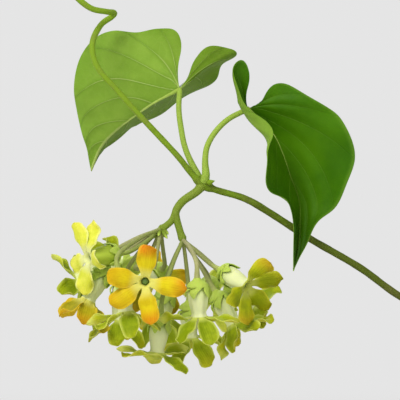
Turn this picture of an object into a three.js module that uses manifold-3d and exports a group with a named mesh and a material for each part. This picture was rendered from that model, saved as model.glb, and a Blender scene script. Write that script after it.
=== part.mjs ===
// Potted tonkin jasmine: a young twining vine in a plain clay pot, with one flowering shoot.
// Millimetres, +Z up. The origin is the centre of the pot's flat base.
// The viewer stands at -Y. The flowering shoot reaches out to -X and carries two heart-shaped
// leaves, an umbel of sixteen flowers and a free twining tip.
import * as THREE from "three";
import { LoftGeometry } from "three/addons/geometries/LoftGeometry.js";
import { mergeVertices } from "three/addons/utils/BufferGeometryUtils.js";
import Module from "manifold-3d";

const wasm = await Module();
wasm.setup();

// Driving dimensions
const POT = { height: 92, footRadius: 36, rimRadius: 52, rimDrop: 21, wall: 5.5, floor: 6, sides: 32 };
const DRAIN = { count: 4, radius: 3.5, ring: 18 };
const SOIL = { level: 80, gap: 0.4, sides: 18, lump: 1.1 };
const CANE = { x: 8, y: 0, radius: 2.5, foot: 14, top: 233, sides: 10, jointGap: 62 };
const VINE = {
  radius: 1.25,
  tipRadius: 0.55,
  clear: 0.45,
  turn: 41,
  foot: 52,
  bend: 86,
  away: 9,
  top: 231,
  sides: 6,
  steps: 48,
};
const NODE = { x: -72, y: -6, z: 170 };
const SHOOT = { foot: 129, radius: 1.1, tipRadius: 0.6, sides: 6, steps: 50 };
const PETIOLE = { radius: 0.85, endRadius: 0.75, sides: 5 };
const LEAF = { thick: 0.6, lobeShare: 0.285, steps: 16, across: 3 };
const PEDUNCLE = { radius: 1.3, forkRadius: 1.1, hubRadius: 1.3, sides: 6 };
const PEDICEL = { radius: 0.52, endRadius: 0.7, sag: 0.05, steps: 4 };
const SEPAL = { length: 3.6, halfWidth: 1.05, thick: 0.6, gap: 0.3 };
const TUBE = { length: 8.5, baseRadius: 1.9, bellyRadius: 2.7, neckRadius: 1.9, throat: 0.9, depth: 3.2 };
const PETAL = { length: 9.4, halfWidth: 2.75, thick: 0.6, twist: 20, steps: 4 };
const FIT = 0.3;

const COLOUR = {
  clay: 0xb5663f,
  soil: 0x3a2a1f,
  bamboo: 0xc9a96a,
  stem: 0x86a83c,
  woody: 0x7d8450,
  leaf: 0x4f8f22,
  calyx: 0x9cc24e,
  pale: 0xf0ef6a,
  amber: 0xe8b524,
  lime: 0xb9c43a,
};

const point = (x, y, z) => new THREE.Vector3(x, y, z);
const radians = THREE.MathUtils.degToRad;
const UP = point(0, 0, 1);

// A smooth curve through hand-placed points.
function curve(points) {
  const at = points.map((p) => (p.isVector3 ? p : point(...p)));
  return new THREE.CatmullRomCurve3(at, false, "catmullrom", 0.5);
}

// A number between -1 and 1 that depends only on its two counters.
function vary(a, b) {
  const s = Math.sin(a * 12.9898 + b * 78.233) * 43758.5453;
  return 2 * (s - Math.floor(s)) - 1;
}

// Closed geometries to solids and back.
function solid(geometry) {
  const bare = new THREE.BufferGeometry();
  bare.setAttribute("position", geometry.getAttribute("position"));
  bare.setIndex(geometry.getIndex());
  const merged = mergeVertices(bare, 1e-4);
  const triVerts = new Uint32Array(merged.index.array);
  const vertProperties = merged.attributes.position.array;
  const made = new wasm.Manifold(new wasm.Mesh({ numProp: 3, vertProperties, triVerts }));
  if (made.volume() > 0) return made;
  for (let i = 0; i < triVerts.length; i += 3) triVerts.subarray(i + 1, i + 3).reverse();
  return new wasm.Manifold(new wasm.Mesh({ numProp: 3, vertProperties, triVerts }));
}

function join(solids) {
  return solids.reduce((a, b) => a.add(b));
}

// The largest body of a cut solid, so that a loose scrap is dropped.
function largest(made) {
  const bodies = made.decompose().sort((a, b) => b.volume() - a.volume());
  return bodies[0];
}

function geometryOf(made) {
  const { numProp, numVert, vertProperties, triVerts } = made.getMesh();
  const position = new Float32Array(numVert * 3);
  for (let i = 0; i < numVert; i++) {
    position.set(vertProperties.subarray(i * numProp, i * numProp + 3), i * 3);
  }
  const geometry = new THREE.BufferGeometry();
  geometry.setAttribute("position", new THREE.BufferAttribute(position, 3));
  geometry.setIndex(new THREE.BufferAttribute(triVerts, 1));
  geometry.computeVertexNormals();
  return geometry;
}

function mesh(name, made, colour, roughness) {
  const material = new THREE.MeshStandardMaterial({ color: colour, roughness, metalness: 0 });
  const shown = new THREE.Mesh(geometryOf(made), material);
  shown.name = name;
  return shown;
}

function numbered(name, i) {
  return `${name}_${String(i + 1).padStart(2, "0")}`;
}

// A round tube along a curve whose radius changes with the share of its length.
function tube(path, steps, sides, radiusAt) {
  const frames = path.computeFrenetFrames(steps, false);
  const sections = [];
  for (let i = 0; i <= steps; i++) {
    const share = i / steps;
    const centre = path.getPointAt(share);
    const radius = radiusAt(share);
    const ring = [];
    for (let j = 0; j < sides; j++) {
      const turn = (2 * Math.PI * j) / sides;
      const out = frames.normals[i].clone().multiplyScalar(Math.cos(turn) * radius);
      out.addScaledVector(frames.binormals[i], Math.sin(turn) * radius);
      ring.push(centre.clone().add(out));
    }
    sections.push(ring);
  }
  return solid(new LoftGeometry(sections, { capStart: true, capEnd: true }));
}

function taper(from, to) {
  return (share) => from + (to - from) * share;
}

function ball(centre, radius, stretch = 1) {
  const round = new THREE.SphereGeometry(radius, 6, 4);
  round.scale(1, 1, stretch);
  round.translate(centre.x, centre.y, centre.z);
  return solid(round);
}

// A thin sheet with its own thickness: surface points and the triangles between them.
function sheet(points, faces, thick) {
  const flat = new THREE.BufferGeometry().setFromPoints(points);
  flat.setIndex(faces.flat());
  flat.computeVertexNormals();
  const normals = flat.attributes.normal;
  const moved = (distance) =>
    points.map((p, i) => {
      const normal = point(0, 0, 0).fromBufferAttribute(normals, i);
      return p.clone().addScaledVector(normal, distance);
    });
  const front = moved(thick / 2);
  const back = moved(-thick / 2);
  const under = points.length;
  const edges = new Set(faces.flatMap(([a, b, c]) => [`${a} ${b}`, `${b} ${c}`, `${c} ${a}`]));
  const index = [];
  faces.forEach(([a, b, c]) => {
    index.push(a, b, c, a + under, c + under, b + under);
    [[a, b], [b, c], [c, a]].forEach(([from, to]) => {
      if (edges.has(`${to} ${from}`)) return;
      index.push(to, from, from + under, to, from + under, to + under);
    });
  });
  const geometry = new THREE.BufferGeometry().setFromPoints(front.concat(back));
  geometry.setIndex(index);
  return solid(geometry);
}

// A cup whose mouth runs out into lobes. Rings have the same number of points; the outer ones go
// from the foot to the mouth and the inner ones from the mouth down to the bottom. Each lobe starts
// on the mouth's points from its first on and goes on through its rows.
function lobedCup(outerRings, innerRings, lobes, thick) {
  const around = outerRings[0].length;
  const rings = [...outerRings, ...innerRings];
  const mouthOut = outerRings[outerRings.length - 1];
  const mouthIn = innerRings[0];
  const index = [];
  const quad = (a, b, c, d) => index.push(a, b, c, a, c, d);
  for (let i = 0; i < rings.length - 1; i++) {
    for (let j = 0; j < around; j++) {
      const k = (j + 1) % around;
      quad(i * around + j, i * around + k, (i + 1) * around + k, (i + 1) * around + j);
    }
  }
  const points = rings.flat();
  [0, rings.length - 1].forEach((i) => {
    const middle = point(0, 0, 0);
    rings[i].forEach((p) => middle.addScaledVector(p, 1 / around));
    const centre = points.push(middle) - 1;
    for (let j = 0; j < around; j++) {
      const pair = [i * around + j, i * around + ((j + 1) % around)];
      if (i === 0) pair.reverse();
      index.push(...pair, centre);
    }
  });
  const cup = new THREE.BufferGeometry().setFromPoints(points);
  cup.setIndex(index);
  const made = lobes.map(({ first, rows }) => {
    const base = rows[0].map((_, j) => (first + j) % around);
    return lobe(base.map((j) => mouthOut[j]), base.map((j) => mouthIn[j]), rows, thick);
  });
  return largest(join([solid(cup), ...made]));
}

// One lobe: it starts between two rows of points on the mouth and goes on through its rows.
function lobe(outerBase, innerBase, rows, thick) {
  const width = rows[0].length;
  const middles = [outerBase.map((p, j) => p.clone().lerp(innerBase[j], 0.5)), ...rows];
  const last = middles.length - 1;
  const offset = (i, j, share) => {
    const along = middles[Math.min(i + 1, last)][j].clone().sub(middles[i - 1][j]);
    const next = middles[i][Math.min(j + 1, width - 1)];
    const across = next.clone().sub(middles[i][Math.max(j - 1, 0)]);
    return middles[i][j].clone().addScaledVector(along.cross(across).normalize(), share * thick);
  };
  const upper = [innerBase];
  const lower = [outerBase];
  for (let i = 1; i <= last; i++) {
    upper.push(middles[i].map((_, j) => offset(i, j, 0.5)));
    lower.push(middles[i].map((_, j) => offset(i, j, -0.5)));
  }
  const up = (i, j) => i * width + j;
  const low = (i, j) => (middles.length + i) * width + j;
  const index = [];
  const quad = (a, b, c, d) => index.push(a, b, c, a, c, d);
  const end = width - 1;
  for (let i = 0; i < last; i++) {
    for (let j = 0; j < end; j++) {
      quad(up(i, j + 1), up(i, j), up(i + 1, j), up(i + 1, j + 1));
      quad(low(i, j), low(i, j + 1), low(i + 1, j + 1), low(i + 1, j));
    }
    quad(up(i, 0), low(i, 0), low(i + 1, 0), up(i + 1, 0));
    quad(low(i, end), up(i, end), up(i + 1, end), low(i + 1, end));
  }
  for (let j = 0; j < end; j++) {
    quad(low(last, j), low(last, j + 1), up(last, j + 1), up(last, j));
    index.push(low(0, j), up(0, j + 1), low(0, j + 1), low(0, j), up(0, j), up(0, j + 1));
  }
  const geometry = new THREE.BufferGeometry().setFromPoints([...upper.flat(), ...lower.flat()]);
  geometry.setIndex(index);
  return solid(geometry);
}

// Leaves
// A leaf is a midrib and, for each half, a margin curve from the sinus round the lobe to the tip
// and the offsets that belly the half out of the flat between midrib and margin.
function leafSheet(leaf, steps, across) {
  const midrib = curve(leaf.midrib);
  const lobeSteps = Math.round(steps * LEAF.lobeShare);
  const points = [];
  const faces = [];
  const ribSteps = steps - lobeSteps;
  for (let i = 0; i <= ribSteps; i++) points.push(midrib.getPoint(i / ribSteps));
  const ribAt = (i) => Math.max(i - lobeSteps, 0);
  const tip = ribAt(steps);
  [leaf.left, leaf.right].forEach((half, side) => {
    const margin = curve(half.margin);
    const belly = curve(half.belly);
    const base = points.length;
    const at = (i, j) => {
      if (i === steps) return tip;
      return j === 0 ? ribAt(i) : base + i * across + j - 1;
    };
    for (let i = 0; i < steps; i++) {
      const share = i / steps;
      const root = points[ribAt(i)];
      const edge = margin.getPoint(share);
      const bend = root.clone().lerp(edge, 0.5).add(belly.getPoint(share));
      for (let j = 1; j <= across; j++) {
        const t = j / across;
        const p = root.clone().multiplyScalar((1 - t) * (1 - t));
        points.push(p.addScaledVector(bend, 2 * t * (1 - t)).addScaledVector(edge, t * t));
      }
    }
    for (let i = 0; i < steps; i++) {
      for (let j = 0; j < across; j++) {
        const corners = [at(i, j), at(i + 1, j), at(i + 1, j + 1), at(i, j + 1)];
        if (side) corners.reverse();
        const [a, b, c, d] = corners;
        [[a, b, c], [a, c, d]].forEach((face) => {
          if (new Set(face).size === 3) faces.push(face);
        });
      }
    }
  });
  return sheet(points, faces, LEAF.thick);
}

function leafSolid(leaf, steps = LEAF.steps, across = LEAF.across) {
  const { radius, endRadius, sides } = PETIOLE;
  const scale = leaf.scale ?? 1;
  const stalk = tube(curve(leaf.petiole), 7, sides, taper(radius * scale, endRadius * scale));
  return largest(join([leafSheet(leaf, steps, across), stalk]));
}

// The heart shape of one leaf half: [along the midrib, across], both as shares of the length.
const HEART = [
  [-0.13, 0.07],
  [-0.2, 0.19],
  [-0.15, 0.34],
  [0.0, 0.44],
  [0.2, 0.47],
  [0.42, 0.41],
  [0.62, 0.29],
  [0.79, 0.15],
  [0.91, 0.055],
  [1.0, 0.004],
];

// A whole leaf from its place on the stem: heading in degrees round +Z from +X.
function freeLeaf({ from, heading, reach, rise, length, pitch, droop, fold, roll }, seed) {
  const forward = point(Math.cos(radians(heading)), Math.sin(radians(heading)), 0);
  const foot = from.clone().addScaledVector(forward, reach).addScaledVector(UP, rise);
  const knee = from.clone().addScaledVector(forward, reach * 0.45).addScaledVector(UP, rise * 0.8);
  const start = radians(pitch);
  const bend = radians(droop) / length;
  const side = point(0, 0, 1).cross(forward);

  // The blade's point at (a, b) in mm, lifted by a height off its surface.
  function place(a, b, lift) {
    const angle = start - bend * Math.max(a, 0);
    const ahead = a > 0 ? (Math.sin(start) - Math.sin(angle)) / bend : a * Math.cos(start);
    const above = a > 0 ? (Math.cos(angle) - Math.cos(start)) / bend : a * Math.sin(start);
    const normal = forward.clone().multiplyScalar(-Math.sin(angle)).addScaledVector(UP, Math.cos(angle));
    const tilt = radians(roll);
    const across = side.clone().multiplyScalar(Math.cos(tilt)).addScaledVector(normal, Math.sin(tilt));
    const out = normal.clone().multiplyScalar(Math.cos(tilt)).addScaledVector(side, -Math.sin(tilt));
    const crease = radians(fold);
    return foot
      .clone()
      .addScaledVector(forward, ahead)
      .addScaledVector(UP, above)
      .addScaledVector(across, b * Math.cos(crease))
      .addScaledVector(out, Math.abs(b) * Math.sin(crease) + lift);
  }

  function half(sign) {
    const margin = HEART.map(([a, b], i) => {
      const wave = 0.022 * length * vary(seed, i + 3 * sign) * Math.min(1, b / 0.2);
      return place(a * length, sign * b * length, wave);
    });
    const belly = HEART.map(([a, b]) => {
      const arched = place(a * length, (sign * b * length) / 2, 0.05 * length * Math.min(1, b / 0.2));
      return arched.sub(place(a * length, (sign * b * length) / 2, 0));
    });
    return { margin, belly };
  }

  const midrib = [0, 0.2, 0.4, 0.6, 0.8, 0.92, 1].map((a) => place(a * length, 0, 0));
  return { petiole: [from, knee, foot], midrib, left: half(1), right: half(-1) };
}

// Main vine: a right-handed twine round the cane
function vineAt(height) {
  const h = Math.max(height, VINE.bend);
  const angle = (2 * Math.PI * (h - SHOOT.foot)) / VINE.turn + Math.PI;
  const close = THREE.MathUtils.smoothstep(h, VINE.bend, VINE.bend + 20);
  const reach = THREE.MathUtils.lerp(VINE.away, CANE.radius + VINE.radius + VINE.clear, close);
  return point(CANE.x + reach * Math.cos(angle), CANE.y + reach * Math.sin(angle), height);
}

const vinePoints = [];
for (let height = VINE.foot; height <= VINE.top; height += 4) vinePoints.push(vineAt(height));
const vineTip = [point(9, -7, 239), point(4, -7, 246), point(0, -4, 252)];
const vinePath = curve(vinePoints.concat(vineTip));
const LEAF_NODES = [104, SHOOT.foot, 151, 190, 228];

function vineSolid() {
  const stem = tube(vinePath, VINE.steps, VINE.sides, (share) =>
    THREE.MathUtils.lerp(VINE.radius, VINE.tipRadius, Math.max(0, share - 0.55) / 0.45),
  );
  const swellings = LEAF_NODES.map((height) => ball(vineAt(height), VINE.radius + 0.35, 1.3));
  return join([stem, ...swellings]);
}

// Flowering shoot, in the node's own frame: the node at the origin
const branchFoot = vineAt(SHOOT.foot).sub(point(NODE.x, NODE.y, NODE.z));
const shootPoints = [
  branchFoot.clone().add(point(-2.7, 0, 0.9)),
  point(57, 5, -32.5),
  point(44.3, 4.5, -23.6),
  point(30.2, 3.6, -15.4),
  point(18.5, 2, -7.9),
  point(11.5, 0.8, -4),
  point(0, 0, 0),
  point(-7.9, -2, 8.7),
  point(-18.6, -3.5, 20.1),
  point(-24.2, -4, 26.4),
  point(-28.4, -4.4, 31),
  point(-30.5, -4, 35.4),
  point(-30.7, -2.5, 40),
  point(-28.6, 0.5, 44.6),
  point(-25.7, 2.2, 47),
  point(-24.9, 0, 47.9),
  point(-27, -4.2, 47.9),
  point(-31, -6.6, 48.6),
  point(-35, -7.2, 51.6),
  point(-38.2, -5, 55.2),
  point(-39, -0.5, 58.4),
  point(-36.2, 2.4, 61.4),
  point(-33, 0.6, 64.8),
  point(-32.8, -2.6, 68),
];

function shootSolid() {
  const { radius, tipRadius, sides, steps } = SHOOT;
  const stem = tube(curve(shootPoints), steps, sides, (share) =>
    THREE.MathUtils.lerp(radius, tipRadius, Math.max(0, share - 0.6) / 0.4),
  );
  return join([stem, ball(point(-0.4, 0, 0.2), radius * 1.75, 1.05)]);
}

const leftLeaf = {
  petiole: [[-1.8, 1.05, 2.85], [-4.9, 1.6, 9.8], [-6.2, 1.9, 15.9], [-6.8, 2, 21.3], [-6.5, 2, 26.6]],
  midrib: [
    [-6.5, 2, 26.6], [-12.9, 7, 23.6], [-17.5, 11, 20.9], [-25.1, 18, 15.6],
    [-29.7, 23, 10.8], [-32.7, 27, 4],
  ],
  left: {
    margin: [
      [-5, 5, 40.6], [-8, 6, 43.6], [-13.1, 6.6, 44.1],
      [-18.8, 8, 42.9], [-25.3, 8.5, 43.7], [-30.9, 9.6, 41.3], [-35.3, 11.6, 35.8], [-36.8, 14.6, 28.3],
      [-36.5, 18.6, 21], [-34.8, 22, 14.7], [-33.7, 25, 9.6], [-32.7, 26.9, 4.3],
    ],
    belly: [[0, -0.3, 0], [-1, -1, 0], [-1, -1.5, 1], [-0.5, -1, 0], [0, -0.2, 0]],
  },
  right: {
    margin: [
      [-3.1, 7.2, 35.8], [1.4, 10, 39], [6.4, 13, 39.3], [9.5, 16, 37.7],
      [5.8, 20, 34.7], [3.8, 24, 30.8], [-1.6, 27, 27.6], [-8.1, 29.5, 23.9], [-14.2, 31, 20],
      [-20.4, 31, 17.1], [-26.2, 30, 12.8], [-29.9, 28.8, 9.2], [-32.6, 27.1, 4.3],
    ],
    belly: [[0, 0, 0], [2.2, 0, 3.6], [1, 0, 1], [0, 1, -1], [0, 0, 0]],
  },
};

const rightLeaf = {
  petiole: [
    [0.8, -1.6, 2.4], [0.6, -1.6, 6.6], [1.2, -1.6, 10.6], [3.5, -1.5, 14.6],
    [7.2, -1, 18.2], [12.6, 0, 21],
  ],
  midrib: [
    [12.6, 0, 21], [16.4, 1.2, 17.6], [20, 2, 13.5], [22.5, 2.2, 8], [24.5, 2, 2],
    [26.8, 1.4, -4.6], [27, 0.6, -12.4], [26.4, 0, -18.6], [25.3, -0.6, -24.4],
  ],
  left: {
    margin: [
      [14.2, -3.2, 30.8], [11.1, -5, 34.5], [8.3, -6.8, 31.2], [10, -9, 24.6],
      [13.1, -10.6, 20.4], [17.4, -12.8, 16.7], [19.3, -14.4, 13.2], [17.5, -15.4, 8.3], [17.2, -14.6, 3.2],
      [18.4, -12, -1.9], [23.1, -7, -5], [25.4, -3.4, -10.6], [25.2, -1.8, -17.2], [25.3, -0.7, -24.1],
    ],
    belly: [[0, 0, 0], [-2.4, 0.6, 0], [-5.5, -2, -2.5], [-2, -1.6, 0], [-1, -0.8, 0], [0, 0, 0]],
  },
  right: {
    margin: [
      [18.3, -2, 28.3], [22.3, -3.4, 28.2], [28.2, -5, 25],
      [34, -6.4, 21.5], [38.1, -7.4, 17.9], [41, -8.2, 12.6], [41.7, -8.2, 6.4], [39.9, -7, -0.1],
      [36.7, -5.4, -6.2], [32.2, -3.6, -10.6], [29.1, -2, -16], [27.1, -1.2, -20.4], [25.3, -0.6, -24.1],
    ],
    belly: [[0, 0, 0], [0, 0.6, 0.4], [0, 2, 0], [0, 2.4, 0], [0, 1, 0], [0, 0, 0]],
  },
};

// Umbel: flowers by their throat and the way they face, with each petal's angle round the throat,
// how far it opens from the tube's axis and, where it differs, how far it twists. A petal listed in
// tails has a narrow end. The throats are measured from the shoot's node.
const leftHub = point(-11.8, 0, -12.6);
const rightHub = point(-5.6, 0, -15.7);
const fork = point(-7.8, 0, -8.6);
const FLOWERS = [
  {
    colour: "pale", hub: leftHub, throat: [-31.6, -9, -20.5], faces: [-0.82, -0.56, -0.12],
    petals: [4, 88, 114, 202, 262], spread: [76, 106, 80, 98, 90], twist: [40, 5, 20, 10, -45],
  },
  {
    colour: "amber", hub: leftHub, throat: [-15.8, -22, -26.6], faces: [-0.12, -0.98, -0.08],
    petals: [-8, 79, 165, 213, 280], spread: [88, 66, 70, 80, 88],
  },
  {
    colour: "amber", hub: rightHub, throat: [12.1, -9, -28.2], faces: [0.72, -0.55, -0.42],
    petals: [6, 68, 172, 240, 296], spread: [50, 58, 70, 60, 70], twist: [-15, -75, 40, 20, 55],
  },
  {
    colour: "lime", hub: rightHub, throat: [-1.1, -15, -36.2], faces: [0.05, 0.1, -0.99],
    petals: [6, 68, 128, 177, 285], spread: [82, 44, 50, 96, 70], tails: [3],
  },
  {
    colour: "lime", hub: rightHub, throat: [-12.7, -8, -46.6], faces: [-0.1, -0.05, -0.99],
    petals: [28, 150, 195, 262, 325], spread: [60, 82, 94, 72, 110], tails: [2, 4],
  },
  {
    colour: "lime", hub: rightHub, throat: [-3.5, 5, -43], faces: [0.04, 0.2, -0.98],
    petals: [-30, 52, 122, 190, 260], spread: [66, 48, 46, 56, 44],
  },
  {
    colour: "lime", hub: leftHub, throat: [-21.1, -15, -35], faces: [0.15, -0.1, -0.98],
    petals: [16, 78, 140, 186, 280], spread: [48, 42, 68, 84, 75], tails: [3],
  },
  {
    colour: "amber", hub: leftHub, throat: [-32, -3, -32.3], faces: [-0.45, -0.1, -0.88],
    petals: [8, 74, 128, 226, 290], spread: [46, 44, 36, 32, 70],
  },
  {
    colour: "lime", hub: leftHub, throat: [-35, 7.5, -27.2], faces: [-0.8, 0.2, -0.5],
    petals: [24, 104, 176, 256, 320], spread: [60, 72, 84, 84, 52], tails: [2],
  },
  {
    colour: "lime", hub: leftHub, throat: [-24, 5, -38], faces: [-0.2, 0.1, -0.97],
    petals: [8, 80, 152, 224, 296], spread: [46, 52, 38, 52, 46],
  },
  {
    colour: "lime", hub: leftHub, throat: [-25, 16, -23], faces: [-0.55, 0.83, 0.05],
    petals: [4, 54, 134, 212, 284], spread: [112, 84, 64, 78, 36],
  },
  {
    colour: "lime", hub: rightHub, throat: [8.6, -1, -39], faces: [0.5, -0.1, -0.86],
    petals: [14, 66, 116, 167, 252], spread: [62, 60, 46, 44, 60], tails: [3],
  },
  {
    colour: "lime", hub: rightHub, throat: [13.2, 9, -35], faces: [0.6, 0.35, -0.72],
    petals: [-30, 70, 158, 212, 268], spread: [80, 80, 60, 46, 50],
  },
  {
    colour: "lime", hub: rightHub, throat: [-11.5, 14.5, -38.5], faces: [-0.1, 0.5, -0.86],
    petals: [0, 70, 144, 216, 288], spread: [34, 40, 34, 38, 32],
  },
  {
    colour: "pale", hub: rightHub, throat: [2.6, 19.5, -33], faces: [0.1, 0.85, -0.52],
    petals: [-8, 62, 138, 208, 280], spread: [78, 80, 78, 76, 74],
  },
  {
    colour: "amber", hub: leftHub, throat: [-14, 20.5, -28], faces: [-0.22, 0.9, -0.36],
    petals: [-18, 54, 126, 204, 270], spread: [80, 82, 80, 50, 80],
  },
];

// A flower's own axes: out of the throat, to its right as far as it can be, and the third.
function flowerAxes(flower) {
  const out = point(...flower.faces).normalize();
  const side = point(1, 0, 0).addScaledVector(out, -out.x).normalize();
  const rise = out.clone().cross(side);
  return { out, side, rise, throat: point(...flower.throat) };
}

// Half the petal's width at a share of its length: narrow claw, broad middle, blunt tip or tail.
function petalHalfWidth(share, tailed) {
  const claw = THREE.MathUtils.smoothstep(share, -0.25, 0.5);
  const tip = Math.sqrt(Math.max(0, 1 - Math.pow(share, 5)));
  const slim = tailed ? 1 - 0.66 * THREE.MathUtils.smoothstep(share, 0.5, 1) : 1;
  return PETAL.halfWidth * slim * (0.3 + 0.7 * claw) * (0.48 + 0.52 * tip);
}

// Angles of a flower's petals and of the valleys between them, in radians and in turn.
function ringAngles(flower) {
  const petals = flower.petals.map(radians);
  return petals.flatMap((angle, k) => {
    const next = petals[(k + 1) % petals.length] + (k === petals.length - 1 ? 2 * Math.PI : 0);
    return [angle, (angle + next) / 2];
  });
}

function around(flower, angles, radius, height) {
  const { out, side, rise, throat } = flowerAxes(flower);
  return angles.map((angle) =>
    throat
      .clone()
      .addScaledVector(out, height)
      .addScaledVector(side, radius * Math.cos(angle))
      .addScaledVector(rise, radius * Math.sin(angle)),
  );
}

// Rows of points of one petal past the mouth of the tube; k counts petals and n flowers.
function petalRows(flower, n, k, steps, across) {
  const { out, side, rise, throat } = flowerAxes(flower);
  const angle = radians(flower.petals[k]);
  const ray = side.clone().multiplyScalar(Math.cos(angle)).addScaledVector(rise, Math.sin(angle));
  const level = out.clone().cross(ray);
  const length = PETAL.length * (1 + 0.07 * vary(n, k));
  const opened = radians(flower.spread[k]);
  const twist = radians((flower.twist?.[k] ?? PETAL.twist) + 12 * vary(n, k + 20));
  const rows = [];
  const at = throat.clone().addScaledVector(ray, TUBE.neckRadius);
  const stride = length / steps;
  for (let i = 1; i <= steps; i++) {
    const share = i / steps;
    const open = THREE.MathUtils.smoothstep(share, -0.1, 0.45);
    const lean = THREE.MathUtils.lerp(radians(25), opened, open);
    const along = out.clone().multiplyScalar(Math.cos(lean)).addScaledVector(ray, Math.sin(lean));
    const face = out.clone().multiplyScalar(Math.sin(lean)).addScaledVector(ray, -Math.cos(lean));
    const turn = twist * share;
    const width = level.clone().multiplyScalar(Math.cos(turn)).addScaledVector(face, Math.sin(turn));
    const lift = face.clone().multiplyScalar(Math.cos(turn)).addScaledVector(level, -Math.sin(turn));
    const half = petalHalfWidth(share, flower.tails?.includes(k));
    const row = [];
    at.addScaledVector(along, stride);
    for (let j = 0; j <= across; j++) {
      const v = (2 * j) / across - 1;
      const p = at.clone().addScaledVector(width, v * half);
      row.push(p.addScaledVector(lift, -0.32 * half * v * v));
    }
    rows.push(row);
  }
  return rows;
}

// The corolla: a tube swollen below and necked under its open throat, and five petals.
function flowerSolid(flower, n) {
  const { length, baseRadius, bellyRadius, neckRadius, throat, depth } = TUBE;
  const angles = ringAngles(flower);
  const outer = [
    [baseRadius, -length],
    [bellyRadius, -0.66 * length],
    [neckRadius, -0.1 * length],
    [neckRadius + 0.3, 0],
  ].map(([radius, height]) => around(flower, angles, radius, height));
  const inner = [
    [neckRadius - 0.2, 0.35],
    [throat, -depth],
  ].map(([radius, height]) => around(flower, angles, radius, height));
  const lobes = flower.petals.map((_, k) => ({
    first: (2 * k + angles.length - 1) % angles.length,
    rows: petalRows(flower, n, k, PETAL.steps, 2),
  }));
  return lobedCup(outer, inner, lobes, PETAL.thick);
}

// Where a flower's tube ends in its calyx.
function calyxOf(flower) {
  const { out, throat } = flowerAxes(flower);
  return throat.clone().addScaledVector(out, -TUBE.length - FIT);
}

// A pedicel that runs out into the calyx: five pointed sepals round the corolla tube's base.
function pedicelSolid(flower, n) {
  const { out, side, rise } = flowerAxes(flower);
  const seat = calyxOf(flower);
  const end = seat.clone().addScaledVector(out, -2);
  const reach = flower.hub.distanceTo(end);
  const lead = end.clone().addScaledVector(out, -0.22 * reach);
  const middle = flower.hub.clone().lerp(lead, 0.5);
  middle.addScaledVector(UP, -PEDICEL.sag * reach * (1 - 2 * Math.max(0, -out.z)));
  const path = curve([flower.hub, middle, lead, end]);
  const { steps } = PEDICEL;
  const frames = path.computeFrenetFrames(steps, false);
  const valley = (k) => radians(72 * k + 6 * vary(n, k + 30));
  const phase = Math.atan2(side.dot(frames.binormals[steps]), side.dot(frames.normals[steps]));
  const rings = [];
  for (let i = 0; i <= steps; i++) {
    const radius = THREE.MathUtils.lerp(PEDICEL.radius, PEDICEL.endRadius, i / steps);
    rings.push(
      [0, 1, 2, 3, 4].map((k) => {
        const turn = valley(k) + phase;
        const p = path.getPointAt(i / steps).addScaledVector(frames.normals[i], radius * Math.cos(turn));
        return p.addScaledVector(frames.binormals[i], radius * Math.sin(turn));
      }),
    );
  }
  const cup = (radius, height) =>
    [0, 1, 2, 3, 4].map((k) => {
      const p = seat.clone().addScaledVector(out, height);
      p.addScaledVector(side, radius * Math.cos(valley(k)));
      return p.addScaledVector(rise, radius * Math.sin(valley(k)));
    });
  const wide = (TUBE.baseRadius + SEPAL.gap) / Math.cos(Math.PI / 5) + 0.3;
  const lobes = [0, 1, 2, 3, 4].map((k) => {
    const from = valley(k);
    const to = valley((k + 1) % 5) + (k === 4 ? 2 * Math.PI : 0);
    const angle = (from + to) / 2;
    const ray = side.clone().multiplyScalar(Math.cos(angle)).addScaledVector(rise, Math.sin(angle));
    const level = out.clone().cross(ray);
    const outline = [
      [0.45 * SEPAL.length, TUBE.bellyRadius + SEPAL.gap + 0.45, 1],
      [SEPAL.length, TUBE.bellyRadius + SEPAL.gap + 1, 0.16],
    ];
    const rows = outline.map(([height, radius, share]) => {
      const centre = seat.clone().addScaledVector(out, height).addScaledVector(ray, radius);
      const half = SEPAL.halfWidth * share;
      return [-1, 1].map((v) => centre.clone().addScaledVector(level, v * half));
    });
    return { first: k, rows };
  });
  const outer = [...rings, cup(2, -0.8), cup(wide + 0.5, 0.25)];
  const inner = [cup(wide, 0.45), cup(2.4, 0)];
  return lobedCup(outer, inner, lobes, SEPAL.thick);
}

function stalksSolid() {
  const { radius, forkRadius, hubRadius, sides } = PEDUNCLE;
  const stalk = curve([[-1.9, -0.4, -2.2], [-5.4, -0.3, -4.6], [-7.2, 0, -6.8], fork]);
  const leftArm = curve([fork, [-8.9, 0, -10.4], [-10.6, 0, -11.9], leftHub]);
  const rightArm = curve([fork, [-7.2, 0, -10.6], [-6.2, 0, -14], rightHub]);
  const parts = [
    tube(stalk, 4, sides, taper(radius, forkRadius)),
    tube(leftArm, 4, sides, taper(forkRadius, 0.9)),
    tube(rightArm, 4, sides, taper(forkRadius, 1.0)),
    ball(fork, forkRadius * 1.05),
    ball(leftHub, hubRadius),
    ball(rightHub, hubRadius * 1.15),
    ...FLOWERS.map(pedicelSolid),
  ];
  return join(parts);
}

// Pot, soil and cane
function lathe(profile, sides) {
  const points = profile.map(([r, z]) => new THREE.Vector2(r, z));
  return solid(new THREE.LatheGeometry(points, sides).rotateX(Math.PI / 2));
}

function upright(x, y, radius, bottom, top, sides) {
  const geometry = new THREE.CylinderGeometry(radius, radius, top - bottom, sides);
  geometry.rotateX(Math.PI / 2).translate(x, y, (top + bottom) / 2);
  return solid(geometry);
}

// The pot's inner radius at a height, up to the step behind the rim.
function potInside(height) {
  const share = (height - POT.floor) / (POT.height - POT.rimDrop - POT.floor);
  return THREE.MathUtils.lerp(POT.footRadius - POT.wall + 2, POT.rimRadius - POT.wall - 2, share);
}

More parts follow.
